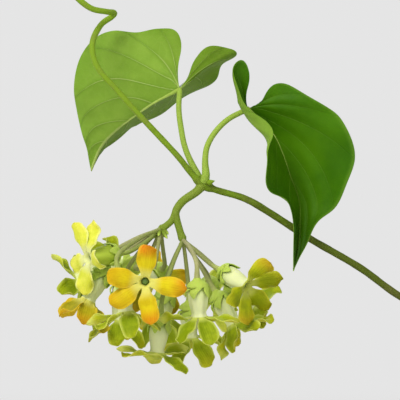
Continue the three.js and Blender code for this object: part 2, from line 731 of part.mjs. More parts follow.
function potSolid() {
  const { height, footRadius, rimRadius, rimDrop, floor, sides } = POT;
  const neck = height - rimDrop;
  const body = lathe(
    [
      [0, 0], [footRadius - 1.2, 0], [footRadius, 1.2], [rimRadius - 4, neck],
      [rimRadius - 1.2, neck + 0.6], [rimRadius, neck + 2.4], [rimRadius, height - 2],
      [rimRadius - 1.6, height], [rimRadius - 4.2, height],
      [rimRadius - 5.4, height - 1.4], [potInside(neck), neck], [potInside(floor + 3), floor + 3],
      [potInside(floor) - 2.5, floor], [0, floor],
    ],
    sides,
  );
  const holes = Array.from({ length: DRAIN.count }, (_, i) => {
    const angle = (2 * Math.PI * (i + 0.5)) / DRAIN.count;
    const { ring, radius } = DRAIN;
    return upright(ring * Math.cos(angle), ring * Math.sin(angle), radius, -1, floor + 1, 10);
  });
  return body.subtract(join(holes));
}

function soilSolid() {
  const { level, gap, sides, lump } = SOIL;
  const bottom = POT.floor + gap;
  const outline = [
    [potInside(POT.floor) - 3.4, bottom], [potInside(POT.floor + 3) - gap - 0.3, POT.floor + 3.4],
    [potInside(45) - gap, 45], [potInside(level) - gap - 1.4, level - 2.5],
    [potInside(level) - 5, level], [33, level + 0.6], [22, level + 1], [11, level + 1.4], [3, level + 1.5],
  ];
  const sections = outline.map(([radius, height], i) =>
    Array.from({ length: sides }, (_, j) => {
      const angle = (2 * Math.PI * j) / sides;
      const raise = i > 3 ? lump * vary(i, j) : 0;
      return point(radius * Math.cos(angle), radius * Math.sin(angle), height + raise);
    }),
  );
  const body = solid(new LoftGeometry(sections, { capStart: true, capEnd: true }));
  const caneHole = upright(CANE.x, CANE.y, CANE.radius + FIT, CANE.foot - FIT, level + 9, CANE.sides);
  const { x, y } = vineAt(VINE.foot);
  const stemHole = upright(x, y, VINE.radius + FIT + 0.15, VINE.foot - FIT, level + 9, 8);
  return largest(body.subtract(join([caneHole, stemHole])));
}

function caneSolid() {
  const { radius, foot, top, jointGap, sides } = CANE;
  const profile = [[0, foot], [radius - 0.15, foot]];
  for (let height = foot + 30; height < top - 10; height += jointGap) {
    profile.push([radius - 0.15, height - 1.2], [radius, height - 0.3], [radius - 0.35, height]);
    profile.push([radius, height + 0.4], [radius - 0.15, height + 1.4]);
  }
  profile.push([radius - 0.15, top - 0.4], [radius - 0.5, top]);
  profile.push([1.1, top], [1, top - 6], [0, top - 6]);
  return lathe(profile, sides).translate([CANE.x, CANE.y, 0]);
}

// Free leaves on the main vine, in opposite pairs at its nodes
const VINE_LEAVES = [
  { at: 104, heading: 232, reach: 15, rise: 2, length: 44, pitch: -8, droop: 14, fold: 10, roll: 8 },
  { at: 104, heading: 12, reach: 20, rise: 8, length: 52, pitch: 8, droop: 58, fold: 16, roll: -10 },
  { at: 129, heading: 288, reach: 17, rise: 3, length: 46, pitch: -18, droop: 54, fold: 18, roll: 6 },
  { at: 129, heading: 77, reach: 20, rise: 8, length: 50, pitch: 0, droop: 60, fold: 15, roll: 12 },
  { at: 151, heading: 322, reach: 20, rise: 9, length: 50, pitch: 10, droop: 66, fold: 20, roll: -12 },
  { at: 151, heading: 64, reach: 18, rise: 10, length: 46, pitch: 12, droop: 58, fold: 16, roll: 10 },
  { at: 190, heading: 290, reach: 16, rise: 9, length: 42, pitch: 4, droop: 62, fold: 22, roll: 10 },
  { at: 190, heading: 72, reach: 15, rise: 8, length: 38, pitch: 14, droop: 56, fold: 20, roll: -8 },
  { at: 228, heading: 245, reach: 10, rise: 7, length: 24, pitch: 26, droop: 40, fold: 30, roll: 0 },
  { at: 228, heading: 40, reach: 10, rise: 7, length: 27, pitch: 22, droop: 46, fold: 28, roll: 6 },
];

function vineLeaf(spec, seed) {
  const heading = radians(spec.heading);
  const stem = vineAt(spec.at);
  const away = stem.clone().sub(point(CANE.x, CANE.y, spec.at)).normalize();
  away.add(point(Math.cos(heading), Math.sin(heading), 0.25)).normalize();
  const scale = spec.length < 30 ? 0.75 : 1;
  const from = stem.addScaledVector(away, VINE.radius + 0.35 + FIT + 0.7);
  return leafSolid({ ...freeLeaf({ ...spec, from }, seed), scale }, 10, 2);
}

// Assembly
const plant = new THREE.Group();
plant.add(mesh("pot", potSolid(), COLOUR.clay, 0.85));
plant.add(mesh("soil", soilSolid(), COLOUR.soil, 0.95));
plant.add(mesh("cane", caneSolid(), COLOUR.bamboo, 0.6));
plant.add(mesh("vine_stem", vineSolid(), COLOUR.woody, 0.6));
VINE_LEAVES.forEach((spec, i) => {
  plant.add(mesh(numbered("vine_leaf", i), vineLeaf(spec, i + 1), COLOUR.leaf, 0.45));
});

const shoot = new THREE.Group();
shoot.position.set(NODE.x, NODE.y, NODE.z);
shoot.add(mesh("flowering_shoot", shootSolid(), COLOUR.stem, 0.5));
shoot.add(mesh("shoot_leaf_left", leafSolid(leftLeaf), COLOUR.leaf, 0.45));
shoot.add(mesh("shoot_leaf_right", leafSolid(rightLeaf), COLOUR.leaf, 0.45));
shoot.add(mesh("umbel_stalks", stalksSolid(), COLOUR.calyx, 0.55));
FLOWERS.forEach((flower, n) => {
  shoot.add(mesh(numbered("flower", n), flowerSolid(flower, n), COLOUR[flower.colour], 0.5));
});
plant.add(shoot);

export default plant;
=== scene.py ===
"""Dresses the potted tonkin jasmine: fine leaves, flowers, stems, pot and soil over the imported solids.

The flowering shoot is measured in millimetres from its own node, as the solids are, and is moved
to its place as each mesh is made. Everything in the scene is in metres.
"""

import logging
import math
from dataclasses import dataclass
from enum import Enum
from typing import Callable, Sequence, Union

import bpy
import numpy as np
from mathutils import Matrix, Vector


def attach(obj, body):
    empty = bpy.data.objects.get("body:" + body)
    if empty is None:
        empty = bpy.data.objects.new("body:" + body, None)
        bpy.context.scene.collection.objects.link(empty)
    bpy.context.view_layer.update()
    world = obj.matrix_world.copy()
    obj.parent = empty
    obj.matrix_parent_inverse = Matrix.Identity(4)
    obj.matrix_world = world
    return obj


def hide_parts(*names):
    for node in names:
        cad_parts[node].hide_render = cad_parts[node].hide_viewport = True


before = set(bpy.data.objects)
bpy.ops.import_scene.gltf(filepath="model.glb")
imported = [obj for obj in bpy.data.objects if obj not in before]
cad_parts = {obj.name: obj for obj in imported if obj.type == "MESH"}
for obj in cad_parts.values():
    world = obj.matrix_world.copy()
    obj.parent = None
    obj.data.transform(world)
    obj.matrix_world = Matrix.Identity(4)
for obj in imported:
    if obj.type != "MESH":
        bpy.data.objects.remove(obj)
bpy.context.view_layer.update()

LOG = logging.getLogger("tonkin_jasmine")
MM = 0.001
Array = np.ndarray
Number = Union[float, Array]
Piece = bpy.types.Object
Material = bpy.types.Material
Colour = tuple[float, float, float]
Place = tuple[float, float, float]
# What a surface tells its finish about each of its points.
MARKS = ("along", "across", "side", "tone", "span", "vein", "shade")
# Millimetres: the shoot's own node, no shift at all, a ring's radius on the axis, a hair's at its foot.
SHOOT_NODE = np.array([-72.0, -6.0, 170.0])
STILL = np.zeros(3)
AXIS = 0.01
HAIR_RADIUS = 0.022


# Numbers
def vary(a: float, b: float) -> float:
    """Gives a number between -1 and 1 that depends only on its two counters.

    Args:
        a: The first counter.
        b: The second counter.

    Returns:
        The same number for the same counters, as in the solids.
    """
    turned = math.sin(a * 12.9898 + b * 78.233) * 43758.5453
    return 2 * (turned - math.floor(turned)) - 1


def smoothstep(value: Number, low: float, high: float) -> Number:
    """Rises smoothly from 0 to 1.

    Args:
        value: Where to look.
        low: Where the rise begins.
        high: Where the rise ends.

    Returns:
        The height of the rise at the value.
    """
    share = np.clip((np.asarray(value, float) - low) / (high - low), 0, 1)
    return share * share * (3 - 2 * share)


def blend(a: Number, b: Number, share: Number) -> Number:
    """Gives the value a share of the way from a to b."""
    return a + (b - a) * share


def unit(vector: Array) -> Array:
    """Gives vectors of length one in the same directions."""
    return vector / np.maximum(np.linalg.norm(vector, axis=-1, keepdims=True), 1e-9)


def bell(distance: Number, width: float) -> Number:
    """Gives 1 at no distance and falls off smoothly over a width."""
    return np.exp(-((distance / width) ** 2))


def srgb(red: int, green: int, blue: int) -> Colour:
    """Turns a colour as a screen shows it into the linear one that shaders use.

    Args:
        red: 0 to 255.
        green: 0 to 255.
        blue: 0 to 255.

    Returns:
        Linear red, green and blue, 0 to 1.
    """
    shown = [channel / 255 for channel in (red, green, blue)]
    return tuple(c / 12.92 if c <= 0.04045 else ((c + 0.055) / 1.055) ** 2.4 for c in shown)


class Path:
    """A smooth curve through points, as the stems, margins and midribs of the solids run."""

    def __init__(self, points: Sequence[Sequence[float]]) -> None:
        """Keeps the points.

        Args:
            points: At least two points that the curve passes through.
        """
        given = np.asarray(points, float)
        self._knots = np.vstack([2 * given[0] - given[1], given, 2 * given[-1] - given[-2]])
        self._spans = len(given) - 1

    def at(self, share: Number) -> Array:
        """Gives the point at a share of the curve's knots.

        Args:
            share: 0 at the first point, 1 at the last.

        Returns:
            One point for each share.
        """
        place = np.clip(np.asarray(share, float), 0, 1) * self._spans
        index = np.minimum(place.astype(int), self._spans - 1)
        t = (place - index)[..., None]
        before, start, end, after = (self._knots[index + k] for k in range(4))
        leave = 0.5 * (end - before)
        arrive = 0.5 * (after - start)
        bent = (2 * t**3 - 3 * t**2 + 1) * start + (t**3 - 2 * t**2 + t) * leave
        return bent + (3 * t**2 - 2 * t**3) * end + (t**3 - t**2) * arrive

    def even(self, count: int) -> Array:
        """Gives points at equal distances along the curve.

        Args:
            count: How many points, both ends included.

        Returns:
            The points in order.
        """
        fine = np.linspace(0, 1, 60 * self._spans + 1)
        points = self.at(fine)
        walked = np.concatenate([[0], np.cumsum(np.linalg.norm(np.diff(points, axis=0), axis=1))])
        return self.at(np.interp(np.linspace(0, walked[-1], count), walked, fine))


# Shader maths
class Signal:
    """A shader socket's value, for use in expressions."""

    def __init__(self, look: "Look", socket: bpy.types.NodeSocket) -> None:
        """Keeps the material that the socket belongs to, and the socket."""
        self.look = look
        self.socket = socket

    def _with(self, operation: str, *others: Union["Signal", float], flip: bool = False) -> "Signal":
        """Adds one Math node.

        Args:
            operation: The node's operation.
            others: What the value is combined with.
            flip: True when this value comes second.

        Returns:
            The result.
        """
        values = [self, *others]
        if flip:
            values.reverse()
        return self.look.node("ShaderNodeMath", {"operation": operation}, dict(enumerate(values)))

    def __add__(self, other: Union["Signal", float]) -> "Signal":
        """Adds."""
        return self._with("ADD", other)

    __radd__ = __add__

    def __sub__(self, other: Union["Signal", float]) -> "Signal":
        """Subtracts."""
        return self._with("SUBTRACT", other)

    def __rsub__(self, other: float) -> "Signal":
        """Subtracts this value from a number."""
        return self._with("SUBTRACT", other, flip=True)

    def __mul__(self, other: Union["Signal", float]) -> "Signal":
        """Multiplies."""
        return self._with("MULTIPLY", other)

    __rmul__ = __mul__

    def __abs__(self) -> "Signal":
        """Drops the sign."""
        return self._with("ABSOLUTE")

    def fraction(self) -> "Signal":
        """Keeps only what follows the decimal point."""
        return self._with("FRACT")

    def sine(self) -> "Signal":
        """Gives the sine, in radians."""
        return self._with("SINE")

    def larger(self, other: Union["Signal", float]) -> "Signal":
        """Gives the larger of two values."""
        return self._with("MAXIMUM", other)

    def rise(self, low: Union["Signal", float], high: Union["Signal", float]) -> "Signal":
        """Rises smoothly from 0 at low to 1 at high.

        Args:
            low: Where the rise begins.
            high: Where it ends.

        Returns:
            The height of the rise.
        """
        settings = {"interpolation_type": "SMOOTHSTEP"}
        return self.look.node("ShaderNodeMapRange", settings, {0: self, 1: low, 2: high})


class Look:
    """A material under construction: one principled shader and the nodes that feed it."""

    def __init__(self, name: str, **constants: Union[float, tuple]) -> None:
        """Makes the material.

        Args:
            name: The material's name.
            constants: Shader inputs by name, with _ for a space, that are the same all over.
        """
        self.material = bpy.data.materials.new(name)
        self.material.use_nodes = True
        self.nodes = self.material.node_tree.nodes
        self.links = self.material.node_tree.links
        self.nodes.clear()
        self.shader = self.nodes.new("ShaderNodeBsdfPrincipled")
        output = self.nodes.new("ShaderNodeOutputMaterial")
        self.links.new(self.shader.outputs[0], output.inputs["Surface"])
        for key, value in constants.items():
            self.shader.inputs[key.replace("_", " ")].default_value = value

    def node(self, kind: str, settings: dict, inputs: dict, out: Union[int, str] = 0) -> Signal:
        """Adds a node.

        Args:
            kind: The node's type.
            settings: Its properties, set before its sockets.
            inputs: Values or signals for its sockets, by name or number.
            out: Which output to read.

        Returns:
            The output's value.
        """
        made = self.nodes.new(kind)
        for key, value in settings.items():
            setattr(made, key, value)
        for key, value in inputs.items():
            if isinstance(value, Signal):
                self.links.new(value.socket, made.inputs[key])
            else:
                made.inputs[key].default_value = value
        return Signal(self, made.outputs[out])

    def mark(self, name: str) -> Signal:
        """Reads one of the surface's own attributes."""
        return self.node("ShaderNodeAttribute", {"attribute_name": name}, {}, "Fac")

    def place(self, stretch: Place = (1, 1, 1)) -> Signal:
        """Reads the object coordinates, in metres.

        Args:
            stretch: A factor for each axis.

        Returns:
            The stretched place.
        """
        here = self.node("ShaderNodeTexCoord", {}, {}, "Object")
        return self.node("ShaderNodeVectorMath", {"operation": "MULTIPLY"}, {0: here, 1: stretch})

    def noise(self, scale: float, detail: float, stretch: Place = (1, 1, 1)) -> Signal:
        """Gives soft random patches.

        Args:
            scale: Patches in a metre.
            detail: How many finer layers.
            stretch: A factor for each axis.

        Returns:
            A value about 0.5.
        """
        inputs = {"Vector": self.place(stretch), "Scale": scale, "Detail": detail, "Roughness": 0.55}
        return self.node("ShaderNodeTexNoise", {}, inputs, "Fac")

    def cells(self, scale: float) -> Signal:
        """Gives the distance to the edges of random cells.

        Args:
            scale: Cells in a metre.

        Returns:
            0 on an edge, larger inside a cell.
        """
        inputs = {"Vector": self.place(), "Scale": scale}
        return self.node("ShaderNodeTexVoronoi", {"feature": "DISTANCE_TO_EDGE"}, inputs, "Distance")

    def mix(self, share: Union[Signal, float], a: Union[Signal, Colour], b: Union[Signal, Colour]) -> Signal:
        """Mixes two colours.

        Args:
            share: 0 for the first, 1 for the second.
            a: The first colour.
            b: The second colour.

        Returns:
            The mixed colour.
        """
        pair = [c if isinstance(c, Signal) else (*c, 1.0) for c in (a, b)]
        settings = {"data_type": "RGBA", "clamp_factor": True}
        return self.node("ShaderNodeMix", settings, {0: share, 6: pair[0], 7: pair[1]}, 2)

    def finish(self, colour: Signal, roughness: Signal, height: Signal, depth: float) -> Material:
        """Joins what varies to the shader.

        Args:
            colour: The base colour.
            roughness: The roughness.
            height: The relief, 0 to 1.
            depth: How deep the relief is, in metres.

        Returns:
            The finished material.
        """
        bump = self.node("ShaderNodeBump", {}, {"Strength": 1.0, "Distance": depth, "Height": height})
        self.links.new(colour.socket, self.shader.inputs["Base Color"])
        self.links.new(roughness.socket, self.shader.inputs["Roughness"])
        self.links.new(bump.socket, self.shader.inputs["Normal"])
        return self.material


# Finishes
@dataclass(frozen=True)
class LeafFinish:
    """Soft green leaf, darker above than below, with pale veins that follow the blade and painted shade
    beside the veins below, over a shaded half, over the lobes below and over the tip above.

    Widths are in millimetres, scales in patches a metre and the relief in metres.
    """

    upper: Colour = srgb(72, 120, 2)
    upper_dark: Colour = srgb(50, 97, 0)
    under: Colour = srgb(138, 172, 62)
    under_dark: Colour = srgb(114, 150, 44)
    vein_above: Colour = srgb(112, 150, 48)
    vein_below: Colour = srgb(178, 200, 110)
    # Painted shade in the grooves along and beside the veins on the underside.
    crease: Colour = srgb(92, 130, 32)
    # Painted shade: the colours that a shaded half, the lobes below and the tip above are darkened towards.
    upper_painted_shade: Colour = srgb(30, 62, 0)
    under_painted_shade: Colour = srgb(88, 120, 0)
    vein_width: float = 0.34
    midrib_width: float = 0.6
    net_scale: float = 430
    patch_scale: float = 60
    relief: float = 0.0002

    def dress(self) -> Material:
        """Makes the leaf material.

        Returns:
            The material.
        """
        soft = {"Subsurface_Weight": 0.12, "Subsurface_Radius": (0.5, 1.0, 0.2), "Subsurface_Scale": 0.001}
        look = Look("leaf_green", Specular_IOR_Level=0.1, **soft)
        across, side, shade = (look.mark(name) for name in ("across", "side", "shade"))
        along, vein = look.mark("along"), look.mark("vein")
        off_vein = abs((vein + 0.5).fraction() - 0.5) * look.mark("span")
        fade = 1 - across.rise(0.35, 0.95)
        lateral = 1 - off_vein.rise(0.06, self.vein_width - 0.12 * across)
        # Painted shade mask: 1 along each lateral vein, falling off beside it where the quilted blade folds.
        vein_groove_shade = 1 - off_vein.rise(0.1, 1.6)
        midrib = 1 - look.mark("tone").rise(0.22, self.midrib_width)
        net = (1 - look.cells(self.net_scale).rise(0.0, 0.06)) * 0.25
        patches = look.noise(self.patch_scale, 4).rise(0.3, 0.72)
        # Painted shade masks: the lobes near the stalk on the underside and the tip on the upper side.
        lobe, tip = 1 - along.rise(0.1, 0.42), along.rise(0.6, 0.95)
        upper = look.mix(patches, self.upper_dark, self.upper)
        # Painted shade on the upper side over a shaded half and the tip.
        upper = look.mix(shade.larger(tip * 0.85), upper, self.upper_painted_shade)
        upper = look.mix(across.rise(0.93, 1.0) * 0.4, upper, self.vein_above)
        seen_above = (lateral * 0.3 * fade).larger(midrib * 0.75).larger(net * 0.12)
        upper = look.mix(seen_above, upper, self.vein_above)
        under = look.mix(patches, self.under_dark, self.under)
        # Painted shade in the grooves along and beside the veins.
        under = look.mix(vein_groove_shade * 0.3, under, self.crease)
        # Painted shade on the underside over a shaded half and the lobes.
        under = look.mix(shade.larger(lobe * 0.5 * across), under, self.under_painted_shade)
        main = lateral * (1 - abs(vein - BASAL_VEIN).rise(0.2, 0.5)) * (1 - across.rise(0.5, 1.0))
        seen_below = (lateral * (0.08 + 0.42 * fade)).larger(main * 0.75)
        seen_below = seen_below.larger(midrib * 0.9).larger(net * 0.2)
        under = look.mix(seen_below, under, self.vein_below)
        roughness = 0.62 - side * 0.14 + look.noise(900, 2) * 0.08
        ridges = lateral.larger(midrib) * 0.5 + net * 0.3
        relief = 0.5 + ridges * (1 - side * 1.6) + look.noise(700, 3) * 0.2
        return look.finish(look.mix(side, under, upper), roughness, relief, self.relief)


class Tint(Enum):
    """Colours of a flower as it ages."""

    PALE = "pale"
    AMBER = "amber"
    OLIVE = "olive"
    LIME = "lime"

    def slot(self) -> str:
        """Names the material slot, which olive petals share with amber ones."""
        return "petal_amber" if self is Tint.OLIVE else f"petal_{self.value}"


@dataclass(frozen=True)
class PetalFinish:
    """One flower colour: white tube, green throat, petals that turn towards their ends, and pale rims that
    are partly the petals' own margins and partly painted highlight.
    """

    tint: Tint
    body: Colour
    deep: Colour
    end: Colour
    end_share: float
    back: Colour
    back_dark: Colour
    # The rim colour: the petals' own pale margins, partly painted highlight along the edges.
    rim: Colour
    heart: Colour = srgb(226, 230, 158)
    heart_share: float = 0.34
    throat: Colour = srgb(98, 124, 62)
    tube: Colour = srgb(228, 234, 176)
    tube_green: Colour = srgb(166, 190, 74)

    def dress(self) -> Material:
        """Makes the petal material.

        Returns:
            The material.
        """
        name = f"petal_{self.tint.value}"
        soft = {"Subsurface_Weight": 0.2, "Subsurface_Radius": (1.0, 0.9, 0.25), "Subsurface_Scale": 0.001}
        look = Look(name, Specular_IOR_Level=0.15, **soft)
        along, across, side, tone = (look.mark(m) for m in MARKS[:4])
        tail = tone.rise(1.4, 1.8)
        own = tone - tail * 3
        patches = look.noise(260, 3) + own * 0.16
        streaks = look.noise(900, 2) * 0.5 + 0.5 * (across * 26 + look.noise(300, 2) * 3).sine() * 0.5
        front = look.mix(patches.rise(0.35, 0.7), self.deep, self.body)
        turned = along.rise(0.45, 1.0) * (patches * 1.2 + streaks * 0.3) * (1 + own * 0.7) * self.end_share
        front = look.mix(turned + across * across * 0.25 * self.end_share, front, self.end)
        back = look.mix(patches.rise(0.3, 0.72), self.back_dark, self.back)
        back = look.mix(turned * 0.6, back, self.end)
        petal = look.mix(side, back, front)
        # Pale rims along the edges and towards the curled tails' ends: partly the petals' own margins,
        # partly painted highlight.
        petal = look.mix(abs(across).rise(0.72, 1.0) * 0.55, petal, self.rim)
        petal = look.mix(tail * along.rise(0.62, 0.9) * 0.8, petal, self.rim)
        petal = look.mix((1 - along.rise(0.02, self.heart_share)) * 0.9, petal, self.heart)
        tube = look.mix((along + look.noise(300, 2) * 0.3).rise(-0.95, -0.35), self.tube_green, self.tube)
        throat = look.mix(along.rise(-0.42, -0.03), self.throat, self.heart)
        below = look.mix(side, tube, throat)
        colour = look.mix(along.rise(-0.03, 0.03), below, petal)
        roughness = 0.5 + look.noise(1200, 2) * 0.12
        return look.finish(colour, roughness, streaks * 0.6 + look.noise(1500, 3) * 0.4, 0.00012)


@dataclass(frozen=True)
class StemFinish:
    """Green stem with fine lengthwise streaks, darker before the share where it turns young."""

    name: str
    young: Colour
    old: Colour
    blush: Colour
    blush_share: float = 0.25
    turn: float = 0.5

    def dress(self) -> Material:
        """Makes the stem material.

        Returns:
            The material.
        """
        soft = {"Subsurface_Weight": 0.1, "Subsurface_Radius": (0.6, 1.0, 0.3), "Subsurface_Scale": 0.0008}
        look = Look(self.name, Specular_IOR_Level=0.2, **soft)
        streaks = look.noise(500, 4)
        age = 1 - (look.mark("along") + (streaks - 0.5) * 0.4).rise(self.turn - 0.2, self.turn + 0.2)
        colour = look.mix(age, self.young, self.old)
        flush = look.noise(140, 3).rise(0.5, 0.75) * self.blush_share + look.mark("tone") * 0.3
        colour = look.mix(flush, colour, self.blush)
        dots = 1 - look.cells(1500).rise(0.0, 0.12)
        colour = look.mix(dots * 0.2, colour, self.young)
        return look.finish(colour, 0.5 + streaks * 0.25, streaks * 0.7 + dots * 0.3, 0.00015)


@dataclass(frozen=True)
class ClayFinish:
    """Unglazed fired clay with turning marks and lime bloom that thickens towards the foot."""

    clay: Colour = srgb(190, 104, 66)
    dark: Colour = srgb(150, 76, 48)
    bloom: Colour = srgb(214, 176, 150)

    def dress(self) -> Material:
        """Makes the clay material.

        Returns:
            The material.
        """
        look = Look("terracotta")
        height = look.node("ShaderNodeSeparateXYZ", {}, {0: look.place()}, "Z")
        patches = look.noise(38, 5)
        grain = look.noise(1400, 3)
        rings = (height * 4200 + look.noise(30, 2, (1, 1, 6)) * 9).sine() * 0.5 + 0.5
        colour = look.mix(patches.rise(0.3, 0.72), self.dark, self.clay)
        powder = look.noise(120, 6).rise(0.5, 0.72) * (0.25 + height.rise(0.05, 0.0) * 0.5)
        colour = look.mix(powder, colour, self.bloom)
        specks = 1 - look.cells(420).rise(0.02, 0.1)
        colour = look.mix(specks * 0.25 * grain, colour, self.dark)
        relief = rings * 0.35 + grain * 0.4 + patches * 0.25
        return look.finish(colour, 0.78 + patches * 0.18, relief, 0.00035)


@dataclass(frozen=True)
class CrumbFinish:
    """Loose dark crumbs of one kind of potting material."""

    name: str
    dark: Colour
    light: Colour
    grains: float

    def dress(self) -> Material:
        """Makes the crumb material.

        Returns:
            The material.
        """
        look = Look(self.name)
        crumbs = look.noise(self.grains, 5)
        colour = look.mix(crumbs.rise(0.35, 0.68), self.dark, self.light)
        pores = look.cells(self.grains * 1.7).rise(0.0, 0.3)
        return look.finish(colour, 0.85 + crumbs * 0.15, crumbs * 0.6 + pores * 0.4, 0.0006)


@dataclass(frozen=True)
class BambooFinish:
    """Dried cane with fibres along it and a dark line at each joint."""

    straw: Colour = srgb(206, 174, 112)
    tan: Colour = srgb(168, 128, 72)
    joint: Colour = srgb(96, 70, 42)

    def dress(self) -> Material:
        """Makes the bamboo material.

        Returns:
            The material.
        """
        look = Look("bamboo", Coat_Weight=0.1, Coat_Roughness=0.3)
        fibres = look.noise(900, 4, (1, 1, 0.03))
        colour = look.mix(fibres.rise(0.3, 0.72), self.tan, self.straw)
        colour = look.mix(look.noise(60, 3).rise(0.45, 0.8) * 0.5, colour, self.tan)
        colour = look.mix(look.mark("tone") * 0.8, colour, self.joint)
        return look.finish(colour, 0.42 + fibres * 0.2, fibres, 0.0002)


# Meshes
def stand(name: str, data: bpy.types.ID) -> Piece:
    """Makes an object and puts it in the scene.

    Args:
        name: The object's name.
        data: Its mesh, lamp or camera.

    Returns:
        The object.
    """
    made = bpy.data.objects.new(name, data)
    bpy.context.scene.collection.objects.link(made)
    return made


def plain_mesh(piece: Piece) -> bpy.types.Mesh:
    """Gives a piece's mesh as its modifiers leave it."""
    bpy.context.view_layer.update()
    return bpy.data.meshes.new_from_object(piece.evaluated_get(bpy.context.evaluated_depsgraph_get()))


def write_mark(mesh: bpy.types.Mesh, name: str, values: Array) -> None:
    """Writes a number for each point of a mesh as an attribute."""
    layer = mesh.attributes.new(name, "FLOAT", "POINT")
    layer.data.foreach_set("value", values.astype(np.float32))


def sharpen(mesh: bpy.types.Mesh, angle: float) -> None:
    """Smooths a mesh apart from edges sharper than an angle in degrees."""
    mesh.shade_smooth()
    mesh.set_sharp_from_angle(angle=math.radians(angle))


class Skin:
    """Points, faces and surface marks of a mesh under construction, in millimetres."""

    def __init__(self) -> None:
        """Starts empty."""
        self.points: list[Array] = []
        self.marks: list[Array] = []
        self.faces: list[tuple[int, ...]] = []
        self.count = 0

    def add(self, points: Array, marks: Sequence[Number]) -> Array:
        """Adds a block of points.

        Args:
            points: The points, in any number of dimensions with x, y and z last.
            marks: A value for each name in MARKS, for the block or for each point.

        Returns:
            The points' numbers, in the block's own shape.
        """
        shape = points.shape[:-1]
        total = int(np.prod(shape))
        table = np.zeros((total, len(MARKS)))
        for column, mark in enumerate(marks):
            table[:, column] = np.broadcast_to(mark, shape).reshape(-1)
        self.points.append(points.reshape(-1, 3))
        self.marks.append(table)
        numbers = np.arange(self.count, self.count + total).reshape(shape)
        self.count += total
        return numbers

    def band(self, low: Array, high: Array, closed: bool = False) -> None:
        """Joins two rows of points with faces.

        Args:
            low: Numbers of the lower row.
            high: Numbers of the upper row.
            closed: True when the rows go all the way round.
        """
        size = len(low)
        for j in range(size if closed else size - 1):
            k = (j + 1) % size
            face = (int(low[j]), int(low[k]), int(high[k]), int(high[j]))
            self.faces.append(tuple(dict.fromkeys(face)))

    def stack(self, rings: Sequence[Array], marks: Sequence[Sequence[float]]) -> list[Array]:
        """Adds closed rings of points and joins each to the next.

        Args:
            rings: The points of each ring.
            marks: The marks of each ring.

        Returns:
            The numbers of each ring's points.
        """
        numbers = [self.add(ring, mark) for ring, mark in zip(rings, marks)]
        for low, high in zip(numbers, numbers[1:]):
            self.band(low, high, closed=True)
        return numbers

    def sheet(self, over: Array, under: Array) -> None:
        """Adds both faces of a thin sheet and the rims along its two sides.

        Args:
            over: Numbers of the points of the face that looks one way, row by row.
            under: Numbers of the points opposite them.
        """
        pair = np.stack([over, under])
        for i in range(len(over) - 1):
            self.band(over[i][::-1], over[i + 1][::-1])
            self.band(under[i], under[i + 1])
            self.band(pair[:, i, 0], pair[:, i + 1, 0])
            self.band(pair[::-1, i, -1], pair[::-1, i + 1, -1])

    def cap(self, ring: Array, marks: Sequence[float], bulge: Array = STILL) -> None:
        """Closes a ring with a fan round its middle.

        Args:
            ring: Numbers of the ring, in the order that makes the fan face outwards.
            marks: The marks of the middle point.
            bulge: How far the middle is moved.
        """
        every = np.vstack(self.points)
        middle = every[ring].mean(axis=0) + bulge
        centre = int(self.add(middle[None], marks)[0])
        for j, a in enumerate(ring):
            self.faces.append((int(a), int(ring[(j + 1) % len(ring)]), centre))

    def shut(self, rings: Sequence[Array], marks: Sequence[float], bulge: Array = STILL) -> None:
        """Closes the first and the last of a stack of rings.

        Args:
            rings: The numbers of each ring's points.
            marks: The marks of both middle points.
            bulge: How far the last ring's middle is moved.
        """
        self.cap(rings[0][::-1], marks)
        self.cap(rings[-1], marks, bulge)

    def make(self, name: str, finish: Material, offset: Array = STILL, smooth: float = 60) -> Piece:
        """Makes the mesh object.

        Args:
            name: The object's name.
            finish: Its material.
            offset: How far it is moved, in millimetres.
            smooth: Edges sharper than this many degrees stay sharp.

        Returns:
            The object, with its place in its mesh.
        """
        mesh = bpy.data.meshes.new(name)
        points = (np.vstack(self.points) + offset) * MM
        mesh.from_pydata(points.tolist(), [], [face for face in self.faces if len(face) > 2])
        for mark, values in zip(MARKS, np.vstack(self.marks).T):
            write_mark(mesh, mark, values)
        sharpen(mesh, smooth)
        mesh.materials.append(finish)
        return stand(name, mesh)


def circle(radius: float, height: Number, sides: int) -> Array:
    """Gives the points of a level ring round the upright axis.

    Args:
        radius: Its radius.
        height: Its height, for the ring or for each point.
        sides: How many points it has.

    Returns:
        The points in order.
    """
    turn = np.linspace(0, 2 * math.pi, sides, endpoint=False)
    return np.stack([radius * np.cos(turn), radius * np.sin(turn), np.broadcast_to(height, sides)], axis=1)


def lathe(profile: Array, sides: int, tones: Number = 0.0) -> Skin:
    """Turns a profile round the upright axis.

    Args:
        profile: Radius and height of each ring, in the order that makes the skin face outwards.
        sides: How many sides the rings have.
        tones: The tone mark, for all rings or for each.

    Returns:
        The closed skin.
    """
    skin = Skin()
    marks = [[0, 0, 1, tone] for tone in np.broadcast_to(tones, len(profile))]
    rings = skin.stack([circle(radius, height, sides) for radius, height in profile], marks)
    skin.shut(rings, [0, 0, 1])
    return skin


def join(name: str, parts: Sequence[Piece]) -> Piece:
    """Joins objects into one.

    Args:
        name: The name of the result.
        parts: The objects, the first of which stays.

    Returns:
        The joined object.
    """
    with bpy.context.temp_override(active_object=parts[0], selected_editable_objects=list(parts)):
        bpy.ops.object.join()
    parts[0].name = name
    return parts[0]


def dress(piece: Piece, slot: str, *nodes: str) -> Piece:
    """Puts a finished piece in the frame and reports it.

    Args:
        piece: The finished object.
        slot: The record's material slot for the piece; it is not used.
        nodes: The solids that it stands for.

    Returns:
        The piece.
    """
    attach(piece, "root")
    if nodes:
        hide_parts(*nodes)
    faces = sum(len(p.vertices) - 2 for p in piece.data.polygons)
    LOG.info("%s: %d triangles, stands for %s", piece.name, faces, ", ".join(nodes) or "nothing")
    return piece


